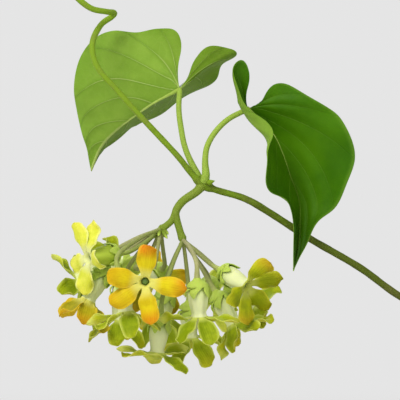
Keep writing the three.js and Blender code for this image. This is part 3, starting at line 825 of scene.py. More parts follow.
# Geometry node trees
class GrowthTree:
    """A geometry node tree with named inputs, applied to an object as a plain mesh."""

    def __init__(self, name: str, inputs: dict[str, str]) -> None:
        """Makes the tree's sockets.

        Args:
            name: The tree's name.
            inputs: The socket type of each named input after the geometry.
        """
        self.tree = bpy.data.node_groups.new(name, "GeometryNodeTree")
        face = self.tree.interface
        face.new_socket("Geometry", in_out="INPUT", socket_type="NodeSocketGeometry")
        self.sockets = {
            key: face.new_socket(key, in_out="INPUT", socket_type=kind) for key, kind in inputs.items()
        }
        face.new_socket("Geometry", in_out="OUTPUT", socket_type="NodeSocketGeometry")
        self.entry = self.tree.nodes.new("NodeGroupInput")

    def node(self, kind: str, settings: dict, inputs: dict) -> bpy.types.Node:
        """Adds a node.

        Args:
            kind: The node's type.
            settings: Its properties, set before its sockets.
            inputs: Values or output sockets for its sockets, by name or number.

        Returns:
            The node.
        """
        made = self.tree.nodes.new(kind)
        for key, value in settings.items():
            setattr(made, key, value)
        for key, value in inputs.items():
            if isinstance(value, bpy.types.NodeSocket):
                self.tree.links.new(value, made.inputs[key])
            else:
                made.inputs[key].default_value = value
        return made

    def end(self, geometry: bpy.types.NodeSocket) -> None:
        """Ends the tree: real geometry, smooth, with its material.

        Args:
            geometry: The output that the tree ends with.
        """
        real = self.node("GeometryNodeRealizeInstances", {}, {0: geometry})
        smooth = self.node("GeometryNodeSetShadeSmooth", {}, {0: real.outputs[0]})
        inputs = {"Geometry": smooth.outputs[0], "Material": self.entry.outputs["Finish"]}
        dressed = self.node("GeometryNodeSetMaterial", {}, inputs)
        self.tree.links.new(dressed.outputs[0], self.tree.nodes.new("NodeGroupOutput").inputs[0])

    def grow(self, name: str, on: Piece, **values: object) -> Piece:
        """Runs the tree on an object and keeps the result as a new plain mesh.

        Args:
            name: The new object's name.
            on: The object that the tree runs on, which stays as it was.
            values: A value for each named input.

        Returns:
            The new object.
        """
        modifier = on.modifiers.new(name, "NODES")
        modifier.node_group = self.tree
        for key, value in values.items():
            modifier[self.sockets[key].identifier] = value
        mesh = plain_mesh(on)
        on.modifiers.remove(modifier)
        mesh.name = name
        return stand(name, mesh)

    def random(self, kind: str, inputs: dict) -> bpy.types.NodeSocket:
        """Adds a random vector or number between the limits in its inputs."""
        made = self.node("FunctionNodeRandomValue", {"data_type": kind}, inputs)
        return made.outputs[0 if kind == "FLOAT_VECTOR" else 1]


class StemTree(GrowthTree):
    """Round stems that follow paths, each point with its own radius."""

    def __init__(self) -> None:
        """Builds the tree."""
        super().__init__("round_stems", {"Sides": "NodeSocketInt", "Finish": "NodeSocketMaterial"})
        line = self.node("GeometryNodeMeshToCurve", {}, {0: self.entry.outputs["Geometry"]})
        width = self.node("GeometryNodeInputNamedAttribute", {"data_type": "FLOAT"}, {"Name": "width"})
        round_off = {"Resolution": self.entry.outputs["Sides"], "Radius": 1.0}
        ring = self.node("GeometryNodeCurvePrimitiveCircle", {}, round_off)
        inputs = {"Curve": line.outputs[0], "Profile Curve": ring.outputs[0], "Fill Caps": True}
        inputs["Scale"] = width.outputs["Attribute"]
        self.end(self.node("GeometryNodeCurveToMesh", {}, inputs).outputs[0])


class StrewTree(GrowthTree):
    """Small things that stand at random points of a surface."""

    def __init__(self, name: str, *sizes: str) -> None:
        """Makes the sockets and the points.

        Args:
            name: The tree's name.
            sizes: The names of the inputs that are plain numbers, Density among them.
        """
        inputs = {size: "NodeSocketFloat" for size in sizes}
        super().__init__(name, inputs | {"Seed": "NodeSocketInt", "Finish": "NodeSocketMaterial"})
        self.enter = self.entry.outputs
        spread = {key: self.enter[key] for key in ("Density", "Seed")} | {0: self.enter["Geometry"]}
        self.roots = self.node("GeometryNodeDistributePointsOnFaces", {}, spread).outputs

    def strew(self, **things: bpy.types.NodeSocket) -> None:
        """Puts a thing on each point, by its Instance, Rotation and Scale, and ends the tree."""
        things["Points"] = self.roots[0]
        self.end(self.node("GeometryNodeInstanceOnPoints", {}, things).outputs[0])


class BristleTree(StrewTree):
    """Short fine hairs that stand on a surface."""

    def __init__(self) -> None:
        """Builds the tree."""
        super().__init__("short_hairs", "Density", "Length", "Thickness")
        sizes = {"Vertices": 3, "Radius Top": 0.0}
        sizes |= {"Radius Bottom": self.enter["Thickness"], "Depth": self.enter["Length"]}
        hair = self.node("GeometryNodeMeshCone", {"fill_type": "NGON"}, sizes)
        tilt = self.random("FLOAT_VECTOR", {0: (-0.7,) * 3, 1: (0.7,) * 3})
        lean = {0: self.roots["Normal"], 1: tilt}
        leaned = self.node("ShaderNodeVectorMath", {"operation": "ADD"}, lean)
        turned = self.node("FunctionNodeAlignRotationToVector", {"axis": "Z"}, {"Vector": leaned.outputs[0]})
        size = self.random("FLOAT", {2: 0.5, 3: 1.2})
        self.strew(Instance=hair.outputs[0], Rotation=turned.outputs[0], Scale=size)


class CrumbTree(StrewTree):
    """Uneven crumbs strewn over a surface."""

    def __init__(self) -> None:
        """Builds the tree."""
        super().__init__("strewn_crumbs", "Density", "Size", "Flatness")
        ball = self.node("GeometryNodeMeshIcoSphere", {}, {"Radius": self.enter["Size"], "Subdivisions": 1})
        dent = self.random("FLOAT_VECTOR", {0: (0.55,) * 3, 1: (1.35,) * 3, "Seed": 5})
        corner = self.node("GeometryNodeInputPosition", {}, {})
        dented = {0: corner.outputs[0], 1: dent}
        bent = self.node("ShaderNodeVectorMath", {"operation": "MULTIPLY"}, dented)
        moved = {"Geometry": ball.outputs[0], "Position": bent.outputs[0]}
        crumb = self.node("GeometryNodeSetPosition", {}, moved)
        turn = self.random("FLOAT_VECTOR", {0: (-0.5, -0.5, 0.0), 1: (0.5, 0.5, 6.28)})
        size = self.random("FLOAT", {2: 0.4, 3: 1.3})
        flat = self.node("ShaderNodeMath", {"operation": "MULTIPLY"}, {0: size, 1: self.enter["Flatness"]})
        scale = self.node("ShaderNodeCombineXYZ", {}, {0: size, 1: size, 2: flat.outputs[0]})
        self.strew(Instance=crumb.outputs[0], Rotation=turn, Scale=scale.outputs[0])


@dataclass
class Strand:
    """One stem: its path and radius in millimetres, its tone, and how young it is at its end."""

    path: Array
    radius: Array
    tone: float = 0.0
    youth: float = 1.0


class Workshop:
    """The trees and materials that several sub-assemblies share."""

    def __init__(self) -> None:
        """Builds the trees and materials."""
        self.stems = StemTree()
        self.bristles = BristleTree()
        self.crumbs = CrumbTree()
        self.leaf = LeafFinish().dress()
        stems = (finish.dress() for finish in STEM_FINISHES)
        self.shoot, self.woody, self.petiole, self.stalk, self.hair = stems
        self.petals = {finish.tint: finish.dress() for finish in PETAL_FINISHES}

    def round_stems(
        self, name: str, strands: Sequence[Strand], finish: Material, sides: int, offset: Array = STILL
    ) -> Piece:
        """Makes stems along paths.

        Args:
            name: The object's name.
            strands: The stems.
            finish: Their material.
            sides: How many sides each stem has.
            offset: How far they are moved, in millimetres.

        Returns:
            One plain mesh object.
        """
        points = np.vstack([strand.path for strand in strands]) + offset
        edges, first = [], 0
        for strand in strands:
            edges += [(i, i + 1) for i in range(first, first + len(strand.path) - 1)]
            first += len(strand.path)
        columns = {
            "width": [strand.radius * MM for strand in strands],
            "along": [np.linspace(0, strand.youth, len(strand.path)) for strand in strands],
            "tone": [np.full(len(strand.path), strand.tone) for strand in strands],
        }
        mesh = bpy.data.meshes.new(name)
        mesh.from_pydata((points * MM).tolist(), edges, [])
        for key, blocks in columns.items():
            write_mark(mesh, key, np.concatenate(blocks))
        line = stand(name + "_line", mesh)
        grown = self.stems.grow(name, line, Sides=sides, Finish=finish)
        bpy.data.objects.remove(line)
        return grown

    def hairs(self, name: str, on: Piece, density: float, length: float, seed: int) -> Piece:
        """Makes short hairs on a piece.

        Args:
            name: The object's name.
            on: The piece that carries them.
            density: Hairs in a square metre.
            length: Their length in millimetres.
            seed: The seed of their places.

        Returns:
            The hairs' object.
        """
        sizes = {"Density": density, "Length": length * MM, "Thickness": HAIR_RADIUS * MM}
        return self.bristles.grow(name, on, Seed=seed, Finish=self.hair, **sizes)


# The shoot, the main stem, the leaves' stalks, the umbel's stalks and the hairs.
STEM_FINISHES = (
    StemFinish("stem_green", srgb(126, 158, 30), srgb(82, 94, 20), srgb(130, 112, 78), 0.36, 0.42),
    StemFinish("stem_woody", srgb(118, 138, 48), srgb(96, 90, 54), srgb(108, 78, 50), 0.4),
    StemFinish("petiole_green", srgb(184, 210, 104), srgb(152, 180, 66), srgb(150, 140, 80), 0.1),
    StemFinish("stalk_green", srgb(188, 210, 88), srgb(120, 142, 40), srgb(184, 172, 138), 0.1, 0.72),
    StemFinish("stem_hair", srgb(190, 204, 130), srgb(170, 184, 110), srgb(180, 180, 130), 0.1),
)
PETAL_FINISHES = (
    PetalFinish(
        Tint.PALE, srgb(238, 238, 96), srgb(214, 220, 62), srgb(232, 214, 66), 0.35,
        srgb(206, 214, 84), srgb(166, 184, 52), srgb(246, 246, 168),
        tube=srgb(184, 204, 70), tube_green=srgb(160, 186, 50),
    ),
    PetalFinish(
        Tint.AMBER, srgb(222, 204, 18), srgb(204, 180, 8), srgb(212, 116, 6), 0.64,
        srgb(186, 172, 26), srgb(150, 144, 18), srgb(232, 196, 48), srgb(222, 218, 110), 0.36,
    ),
    PetalFinish(
        Tint.OLIVE, srgb(180, 190, 16), srgb(146, 160, 8), srgb(190, 118, 30), 0.34,
        srgb(168, 180, 20), srgb(130, 148, 10), srgb(204, 204, 60), srgb(206, 212, 96), 0.3,
    ),
    PetalFinish(
        Tint.LIME, srgb(184, 194, 18), srgb(152, 168, 6), srgb(204, 182, 30), 0.4,
        srgb(164, 180, 22), srgb(128, 148, 8), srgb(216, 224, 110), srgb(210, 220, 100), 0.24,
    ),
)


# Leaves
@dataclass
class LeafHalf:
    """One half of a blade: its margin and how it bellies out of the flat."""

    margin: Sequence[Place]
    belly: Sequence[Place]


@dataclass
class Leaf:
    """One leaf: stalk, midrib and two halves, in millimetres."""

    petiole: Sequence[Place]
    midrib: Sequence[Place]
    left: LeafHalf
    right: LeafHalf
    upper: Place
    scale: float = 1.0
    steps: int = 96
    across: int = 20
    thick: float = 0.5
    edge: float = 0.2
    swell: float = 0.3
    wave: float = 0.35
    lobe_share: float = 0.285
    lobe_corner: float = 3.2
    stalk_radius: float = 0.85
    stalk_end: float = 0.75
    stalk_steps: int = 26
    rib_steps: int = 39
    seed: int = 0
    # How much painted shade each half takes, left then right.
    shade: Sequence[float] = (0.0, 0.0)

    @property
    def lobe(self) -> int:
        """Gives the row from which on the halves meet along the midrib."""
        return round(self.steps * self.lobe_share)

    def blade(self) -> Skin:
        """Builds the blade as a closed sheet.

        Returns:
            The blade with its marks: share of the margin, share of the half's width, upper or
            under side, distance from the midrib, millimetres from vein to vein, vein number and
            how much its half lies in the shade.
        """
        step = np.arange(self.steps + 1)
        shares = step / self.steps
        rib = Path(self.midrib).at(np.clip((step - self.lobe) / (self.steps - self.lobe), 0, 1))
        left, right = (self._half(half, shares, rib) for half in (self.left, self.right))
        surface = np.concatenate([left[:, ::-1], right[:, 1:]], axis=1)
        widths = np.abs(np.linspace(-1, 1, 2 * self.across + 1))
        share, width = np.meshgrid(shares, widths, indexing="ij")
        normal = self._normals(surface)
        vein = self._veins(share, width)
        swell = self.swell * np.abs(np.sin(math.pi * vein)) * smoothstep(width, 0.05, 0.4)
        swell = swell * (1 - smoothstep(width, 0.6, 1))
        wave = self.wave * np.sin(share * 34 + self.seed * 1.7 + width * 2) * smoothstep(width, 0.55, 1)
        surface = surface + normal * (swell + wave * smoothstep(1 - share, 0, 0.2) * self.scale)[..., None]
        half_thick = 0.5 * blend(self.thick, self.edge, width**2)[..., None]
        walked = np.linalg.norm(np.gradient(surface, axis=0), axis=2)
        span = walked / np.maximum(np.abs(np.gradient(vein, axis=0)), 1e-3)
        from_rib = self._distance(surface, Path(self.midrib).at(np.linspace(0, 1, 120)))
        # Painted shade: each half's share, written as the shade mark.
        shade = np.repeat(self.shade, [self.across + 1, self.across])[None, :]
        skin, marks = Skin(), [from_rib, span, vein, shade]
        top = skin.add(surface + normal * half_thick, [share, width, 1, *marks])
        below = skin.add(surface - normal * half_thick, [share, width, 0, *marks])
        self._close(skin, top, below)
        return skin

    def _half(self, half: LeafHalf, shares: Array, rib: Array) -> Array:
        """Builds one half's points.

        Args:
            half: The half's margin and belly.
            shares: The rows' shares of the margin.
            rib: The point of the midrib that each row starts from.

        Returns:
            Rows along the margin and columns from the midrib to it.
        """
        margin = Path(half.margin).at(shares)
        bend = (rib + margin) / 2 + Path(half.belly).at(shares)
        t = np.linspace(0, 1, self.across + 1)[None, :, None]
        grid = rib[:, None] * (1 - t) ** 2 + bend[:, None] * 2 * t * (1 - t) + margin[:, None] * t**2
        grid[-1] = rib[-1]
        return self._round_lobe(grid)

    def _round_lobe(self, grid: Array) -> Array:
        """Rounds the corner where the lobe's inner edge meets its margin.

        Args:
            grid: One half's points, the corner at the end of the first row.

        Returns:
            The points, smoothed near the corner.
        """
        gap = np.linalg.norm(grid - grid[0, -1], axis=2)
        weight = 0.5 * bell(gap, self.lobe_corner)[..., None]
        weight[:, :2], weight[-1] = 0, 0
        for _ in range(60):
            padded = np.pad(grid, ((1, 1), (1, 1), (0, 0)), mode="edge")
            mean = (padded[:-2, 1:-1] + padded[2:, 1:-1] + padded[1:-1, :-2] + padded[1:-1, 2:]) / 4
            mean[0, 1:-1] = (grid[0, :-2] + grid[0, 2:]) / 2
            mean[1:-1, -1] = (grid[:-2, -1] + grid[2:, -1]) / 2
            mean[0, -1] = (grid[0, -2] + grid[1, -1]) / 2
            grid = grid + weight * (mean - grid)
        return grid

    @staticmethod
    def _veins(share: Array, width: Array) -> Array:
        """Numbers each point by the veins it lies between, whole numbers on a vein.

        Args:
            share: The points' shares of the margin.
            width: Their shares of the half's width.

        Returns:
            The vein numbers.
        """
        foot, end, lead = np.array(VEINS).T
        numbers = np.empty_like(share)
        for j in range(share.shape[1]):
            a = width[0, j]
            crossed = foot + (end - foot) * a * (1 + lead) / (1 + lead * a)
            stops = np.concatenate([[crossed[0] - 0.2], crossed, [crossed[-1] + 0.15]])
            numbers[:, j] = np.interp(share[:, j], stops, np.arange(len(stops)))
        return numbers

    def _normals(self, surface: Array) -> Array:
        """Gives the direction out of the upper side at each point.

        Args:
            surface: The points halfway through the blade.

        Returns:
            A vector of length one for each point.
        """
        raw = np.cross(np.gradient(surface, axis=0), np.gradient(surface, axis=1))
        middle = raw[int(self.steps * 0.45) : int(self.steps * 0.8), self.across + 2 :].sum(axis=(0, 1))
        if np.dot(middle, np.asarray(self.upper)) < 0:
            raw = -raw
        raw[-1] = raw[-2].mean(axis=0)
        normal = unit(raw)
        normal[: self.lobe + 1, self.across] = unit(raw[self.lobe + 2, self.across])
        return normal

    @staticmethod
    def _distance(surface: Array, line: Array) -> Array:
        """Gives each point's distance from a line of points."""
        gaps = np.linalg.norm(surface[:, :, None] - line[None, None], axis=3)
        return gaps.min(axis=2)

    def _close(self, skin: Skin, top: Array, below: Array) -> None:
        """Adds the two faces of the blade and the rim between them.

        Args:
            skin: The skin that holds the points.
            top: Numbers of the points on the upper side.
            below: Numbers of the points on the under side.
        """
        middle = self.across
        for face in (top, below):
            face[: self.lobe + 1, middle] = face[0, middle]
            face[-1] = face[-1, middle]
        points = np.vstack(skin.points)
        row, column = self.lobe + 8, middle + 3
        here, ahead, beside = (points[top[row + i, column + j]] for i, j in ((0, 0), (1, 0), (0, 1)))
        outward = here - points[below[row, column]]
        turned = np.dot(np.cross(ahead - here, beside - here), outward) > 0
        over, under = (top, below) if turned else (below, top)
        skin.sheet(over, under)
        skin.band(over[0], under[0])

    def stalk(self) -> list[Strand]:
        """Builds the stalk that runs on as the midrib under the blade.

        Returns:
            One strand.
        """
        held, run_on = np.arange(self.stalk_steps), np.arange(self.rib_steps)
        rib = Path(self.midrib).even(self.rib_steps + 1)
        path = np.vstack([Path(self.petiole).even(self.stalk_steps), rib[1:]])
        foot = np.linspace(self.stalk_radius, self.stalk_end, self.stalk_steps)
        ridge = np.linspace(0.4, 0.1, self.rib_steps) + (self.stalk_end - 0.45) * np.exp(-run_on / 1.6)
        radius = np.concatenate([foot, ridge]) * self.scale
        radius[: self.stalk_steps] *= 1 + 0.45 * bell(held, 4.0)
        return [Strand(path, radius)]


# For each lateral vein: its share of the margin at the midrib and at the edge, and how soon it rises.
VEINS = (
    (0.04, 0.17, -0.3), (0.14, 0.32, -0.2), (0.24, 0.5, -0.1), (0.285, 0.68, 0.57), (0.46, 0.79, 0.3),
    (0.64, 0.88, 0.0), (0.8, 0.95, -0.2),
)
# The number of the strong vein that leaves the midrib at its foot.
BASAL_VEIN = 4.0
# The outline of half a heart-shaped blade, as shares of its length along the midrib and out from it.
HEART = (
    (-0.13, 0.07), (-0.2, 0.19), (-0.15, 0.34), (0.0, 0.44), (0.2, 0.47), (0.42, 0.41), (0.62, 0.29),
    (0.79, 0.15), (0.91, 0.055), (1.0, 0.004),
)


@dataclass
class FreeLeaf:
    """A leaf by its place on the stem: heading in degrees round +Z from +X, sizes in millimetres."""

    at: float
    heading: float
    reach: float
    rise: float
    length: float
    pitch: float
    droop: float
    fold: float
    roll: float

    def shape(self, start: Array, inside: Array, seed: int) -> Leaf:
        """Works out the leaf's curves.

        Args:
            start: Where the stalk leaves the stem's skin.
            inside: The stem's own centre there.
            seed: The leaf's number, which sets the waves of its margin.

        Returns:
            The leaf.
        """
        heading = math.radians(self.heading)
        forward = np.array([math.cos(heading), math.sin(heading), 0.0])
        up = np.array([0.0, 0.0, 1.0])
        foot = start + forward * self.reach + up * self.rise
        knee = start + forward * self.reach * 0.45 + up * self.rise * 0.8
        rise, bend = math.radians(self.pitch), math.radians(self.droop) / self.length
        side = np.cross(up, forward)
        tilt, crease = math.radians(self.roll), math.radians(self.fold)

        def place(a: float, b: float, lift: float) -> Array:
            """Gives a point of the blade.

            Args:
                a: How far along the midrib.
                b: How far out from it, to either side.
                lift: How far off the folded surface.

            Returns:
                The point.
            """
            angle = rise - bend * max(a, 0)
            ahead = (math.sin(rise) - math.sin(angle)) / bend if a > 0 else a * math.cos(rise)
            above = (math.cos(angle) - math.cos(rise)) / bend if a > 0 else a * math.sin(rise)
            normal = up * math.cos(angle) - forward * math.sin(angle)
            across = side * math.cos(tilt) + normal * math.sin(tilt)
            out = normal * math.cos(tilt) - side * math.sin(tilt)
            spread = across * b * math.cos(crease) + out * (abs(b) * math.sin(crease) + lift)
            return foot + forward * ahead + up * above + spread

        def half(sign: int) -> LeafHalf:
            """Gives one half's curves.

            Args:
                sign: 1 for the half to the left, -1 for the other.

            Returns:
                The half.
            """
            margin, belly = [], []
            for i, (a, b) in enumerate(HEART):
                lobe = min(1, b / 0.2)
                wave = 0.022 * self.length * vary(seed, i + 3 * sign) * lobe
                margin.append(place(a * self.length, sign * b * self.length, wave))
                middle = sign * b * self.length / 2
                arched = place(a * self.length, middle, 0.05 * self.length * lobe)
                belly.append(arched - place(a * self.length, middle, 0))
            return LeafHalf(margin, belly)

        midrib = [place(a * self.length, 0, 0) for a in (0, 0.2, 0.4, 0.6, 0.8, 0.92, 1)]
        petiole, scale = [inside, start, knee, foot], 0.75 if self.length < 30 else 1.0
        return Leaf(petiole, midrib, half(1), half(-1), (0, 0, 1), scale, 72, 16, seed=seed)


# Pot, soil and cane
@dataclass
class PotAndSoil:
    """The clay pot, the mix in it and the cane that stands in the mix."""

    shop: Workshop
    height: float = 92.0
    foot_radius: float = 36.0
    rim_radius: float = 52.0
    rim_drop: float = 21.0
    wall: float = 5.5
    floor: float = 6.0
    drain_radius: float = 3.5
    drain_ring: float = 18.0
    soil_level: float = 80.0
    cane_x: float = 8.0
    cane_radius: float = 2.5
    cane_foot: float = 14.0
    cane_top: float = 233.0
    joint_gap: float = 62.0
    pot_step: float = 6.0
    pot_edge: float = 40.0

    def inside(self, height: float) -> float:
        """Gives the pot's inner radius at a height."""
        share = (height - self.floor) / (self.height - self.rim_drop - self.floor)
        return blend(self.foot_radius - self.wall + 2, self.rim_radius - self.wall - 2, share)

    def _pot_profile(self) -> Array:
        """Gives the pot's outline: out over the foot, up the outside, over the rim and down inside.

        Returns:
            Radius and height of each ring.
        """
        foot, rim, top, floor = self.foot_radius, self.rim_radius, self.height, self.floor
        neck = top - self.rim_drop
        corners = [
            (AXIS, 0), (foot - 2.4, 0), (foot - 1.2, 0.1), (foot - 0.3, 0.5), (foot, 1.3),
            (rim - 4.0, neck - 0.3), (rim - 3.6, neck + 0.1), (rim - 1.6, neck + 0.5),
            (rim - 0.7, neck + 1.2), (rim - 0.1, neck + 2.6), (rim - 0.05, top - 8), (rim, top - 2.2),
            (rim - 0.5, top - 0.8), (rim - 1.7, top), (rim - 4.1, top), (rim - 5.0, top - 0.5),
            (rim - 5.4, top - 1.6), (self.inside(neck) + 0.4, neck + 1.5), (self.inside(neck), neck),
            (self.inside(floor + 3), floor + 3), (self.inside(floor) - 0.8, floor + 0.7),
            (self.inside(floor) - 2.5, floor), (AXIS, floor),
        ]
        fine = [corners[0]]
        for low, high in zip(corners, corners[1:]):
            count = max(1, round(math.dist(low, high) / self.pot_step))
            fine += [tuple(blend(np.array(low), np.array(high), (i + 1) / count)) for i in range(count)]
        return np.array(fine)

    def pot(self) -> Piece:
        """Builds the pot with its four drain holes.

        Returns:
            The dressed pot.
        """
        pot = lathe(self._pot_profile(), 112).make("clay_pot", ClayFinish().dress(), smooth=self.pot_edge)
        drills = []
        for i in range(4):
            angle = math.pi * (i + 0.5) / 2
            drill = np.array([[self.drain_radius, -3], [self.drain_radius, self.floor + 3]])
            hole = np.array([self.drain_ring * math.cos(angle), self.drain_ring * math.sin(angle), 0])
            drills.append(lathe(drill, 28).make(f"drill_{i}", pot.data.materials[0], hole))
        drill = join("drill", drills)
        cut = pot.modifiers.new("drain_holes", "BOOLEAN")
        cut.object, cut.operation, cut.solver = drill, "DIFFERENCE", "EXACT"
        mesh = plain_mesh(pot)
        pot.modifiers.remove(cut)
        pot.data = mesh
        sharpen(mesh, self.pot_edge)
        bpy.data.objects.remove(drill)
        return dress(pot, "terracotta", "pot")

    def _lumps(self, x: Array, y: Array) -> Array:
        """Gives the soil's unevenness in millimetres at a place."""
        waves = 0.35 * np.sin(x * 0.42 + 1.3) * np.cos(y * 0.37) + 0.28 * np.sin(x * 0.9 - y * 0.7 + 0.4)
        return waves + 0.2 * np.sin(x * 2.1 + y * 1.7) * np.cos(y * 2.6 - x * 0.8)

    def _mound(self, radii: Array, sides: int) -> list[Array]:
        """Gives rings over the mix's uneven top, which rises a little to its middle.

        Args:
            radii: The radius of each ring.
            sides: How many points the rings have.

        Returns:
            The points of each ring.
        """
        rings = [circle(radius, self.soil_level + 1.5 * (1 - radius / 40), sides) for radius in radii]
        for ring in rings:
            ring[:, 2] += self._lumps(ring[:, 0], ring[:, 1])
        return rings

    def soil(self) -> Piece:
        """Builds the mix: a plain body with a lumpy top.

        Returns:
            The dressed mix.
        """
        level, floor, sides = self.soil_level, self.floor, 120
        outline = [
            (AXIS, floor + 0.4), (self.inside(floor) - 3.4, floor + 0.4),
            (self.inside(floor + 3) - 0.7, floor + 3.4), (self.inside(45) - 0.4, 45),
            (self.inside(level) - 1.8, level - 2.5), (self.inside(level) - 2.6, level - 0.8),
        ]
        rings = [circle(radius, height, sides) for radius, height in outline]
        rings += self._mound(np.linspace(self.inside(level) - 4.5, 1.2, 30), sides)
        skin = Skin()
        skin.shut(skin.stack(rings, [[0, 0, 1]] * len(rings)), [])
        mix = CrumbFinish("potting_mix", srgb(36, 26, 20), srgb(84, 62, 46), 420).dress()
        return dress(skin.make("potting_mix", mix), "potting_mix", "soil")

    def litter(self) -> None:
        """Strews bark and perlite over the mix."""
        rings = self._mound(np.linspace(self.inside(self.soil_level) - 5.5, 5.5, 12), 64)
        skin = Skin()
        skin.stack(rings, [[]] * len(rings))
        bark = CrumbFinish("bark_crumbs", srgb(44, 30, 22), srgb(112, 78, 52), 800).dress()
        white = CrumbFinish("perlite_crumbs", srgb(190, 186, 178), srgb(232, 230, 224), 1500).dress()
        ground = skin.make("ground", bark)
        bits = {"Density": 330000.0, "Size": 1.25 * MM, "Flatness": 0.5, "Seed": 11, "Finish": bark}
        dress(self.shop.crumbs.grow("bark_litter", ground, **bits), "potting_mix")
        bits |= {"Density": 26000.0, "Size": 0.95 * MM, "Flatness": 0.85, "Seed": 4, "Finish": white}
        dress(self.shop.crumbs.grow("perlite_litter", ground, **bits), "potting_mix")
        bpy.data.objects.remove(ground)

    def cane(self) -> Piece:
        """Builds the cane with a raised joint at even distances and a hollow top.

        Returns:
            The dressed cane.
        """
        radius, foot, top = self.cane_radius, self.cane_foot, self.cane_top
        profile = [(AXIS, foot, 0.0), (radius - 0.15, foot, 0.0)]
        for joint in np.arange(foot + 30, top - 10, self.joint_gap):
            profile += [(radius - inset, joint + rise, tone) for inset, rise, tone in CANE_JOINT]
        profile += [(radius - 0.15, top - 0.5, 0.0), (radius - 0.4, top, 0.4), (1.2, top, 0.5)]
        profile += [(1.05, top - 0.3, 0.7), (1.0, top - 6, 1.0), (AXIS, top - 6, 1.0)]
        table = np.array(profile)
        skin = lathe(table[:, :2], 40, table[:, 2])
        made = skin.make("bamboo_cane", BambooFinish().dress(), np.array([self.cane_x, 0, 0]), 45)
        return dress(made, "bamboo", "cane")

    def build(self) -> None:
        """Builds everything from the pot to the cane."""
        self.pot()
        self.soil()
        self.litter()
        self.cane()


# Along the cane past a joint: how far inside the full radius, how far above the joint, how dark.
CANE_JOINT = (
    (0.15, -6.0, 0.0), (0.12, -1.6, 0.1), (0.0, -0.6, 0.4), (0.1, -0.25, 0.9), (0.32, 0.0, 1.0),
    (0.05, 0.3, 0.8), (0.02, 0.6, 0.3), (0.14, 1.8, 0.0),
)


# Main vine
@dataclass
class Vine:
    """The main stem, twined right-handed round the cane, and its leaves."""

    shop: Workshop
    cane_x: float = 8.0
    cane_radius: float = 2.5
    radius: float = 1.25
    tip_radius: float = 0.55
    clear: float = 0.45
    turn: float = 41.0
    foot: float = 52.0
    bend: float = 86.0
    away: float = 9.0
    top: float = 231.0
    branch: float = 129.0
    swelling: float = 0.35
    leaf_gap: float = 0.3
    leaf_stalk: float = 0.7
    nodes: Sequence[float] = (104.0, 129.0, 151.0, 190.0, 228.0)
    leaves: Sequence[FreeLeaf] = (
        FreeLeaf(104, 232, 15, 2, 44, -8, 14, 10, 8),
        FreeLeaf(104, 12, 20, 8, 52, 8, 58, 16, -10),
        FreeLeaf(129, 288, 17, 3, 46, -18, 54, 18, 6),
        FreeLeaf(129, 77, 20, 8, 50, 0, 60, 15, 12),
        FreeLeaf(151, 322, 20, 9, 50, 10, 66, 20, -12),
        FreeLeaf(151, 64, 18, 10, 46, 12, 58, 16, 10),
        FreeLeaf(190, 290, 16, 9, 42, 4, 62, 22, 10),
        FreeLeaf(190, 72, 15, 8, 38, 14, 56, 20, -8),
        FreeLeaf(228, 245, 10, 7, 24, 26, 40, 30, 0),
        FreeLeaf(228, 40, 10, 7, 27, 22, 46, 28, 6),
    )

    def at(self, height: float) -> Array:
        """Gives the stem's centre.

        Args:
            height: How high above the ground.

        Returns:
            The point.
        """
        bent = max(height, self.bend)
        angle = 2 * math.pi * (bent - self.branch) / self.turn + math.pi
        close = smoothstep(bent, self.bend, self.bend + 20)
        reach = blend(self.away, self.cane_radius + self.radius + self.clear, close)
        return np.array([self.cane_x + reach * math.cos(angle), reach * math.sin(angle), height])

    def stem(self) -> Piece:
        """Builds the stem with a swelling at each leaf pair.

        Returns:
            The dressed stem.
        """
        knots = [self.at(float(height)) for height in np.arange(self.foot, self.top + 1e-6, 4)]
        path = Path([*knots, (9, -7, 239), (4, -7, 246), (0, -4, 252)]).even(330)
        share = np.linspace(0, 1, len(path))
        radius = blend(self.radius, self.tip_radius, np.maximum(0, share - 0.55) / 0.45)
        for height in self.nodes:
            radius = radius + 0.45 * bell(np.linalg.norm(path - self.at(height), axis=1), 1.5)
        radius = radius * (1 + 0.04 * np.sin(share * 190) * np.sin(share * 71))
        radius[-5:] *= np.sqrt(np.linspace(0.9, 0.02, 5))
        made = self.shop.round_stems("main_stem", [Strand(path, radius)], self.shop.woody, 14)
        dress(self.shop.hairs("main_stem_hairs", made, density=0.9e6, length=0.35, seed=21), "stem_woody")
        return dress(made, "stem_woody", "vine_stem")

    def leaf(self, spec: FreeLeaf, number: int) -> Piece:
        """Builds one leaf where its stalk leaves the stem.

        Args:
            spec: The leaf's place and sizes.
            number: The leaf's number, from 1.

        Returns:
            The dressed leaf.
        """
        heading = math.radians(spec.heading)
        stem = self.at(spec.at)
        away = unit(stem - np.array([self.cane_x, 0, spec.at]))
        away = unit(away + np.array([math.cos(heading), math.sin(heading), 0.25]))
        start = stem + away * (self.radius + self.swelling + self.leaf_gap + self.leaf_stalk)
        leaf = spec.shape(start, stem + away * 0.6, number)
        name = f"stem_leaf_{number:02d}"
        blade = leaf.blade().make(name, self.shop.leaf)
        stalk = self.shop.round_stems(name + "_stalk", leaf.stalk(), self.shop.petiole, 10)
        return dress(join(name, [blade, stalk]), "leaf_green", f"vine_leaf_{number:02d}")

    def build(self) -> None:
        """Builds the stem and its leaves."""
        self.stem()
        for i, spec in enumerate(self.leaves):
            self.leaf(spec, i + 1)


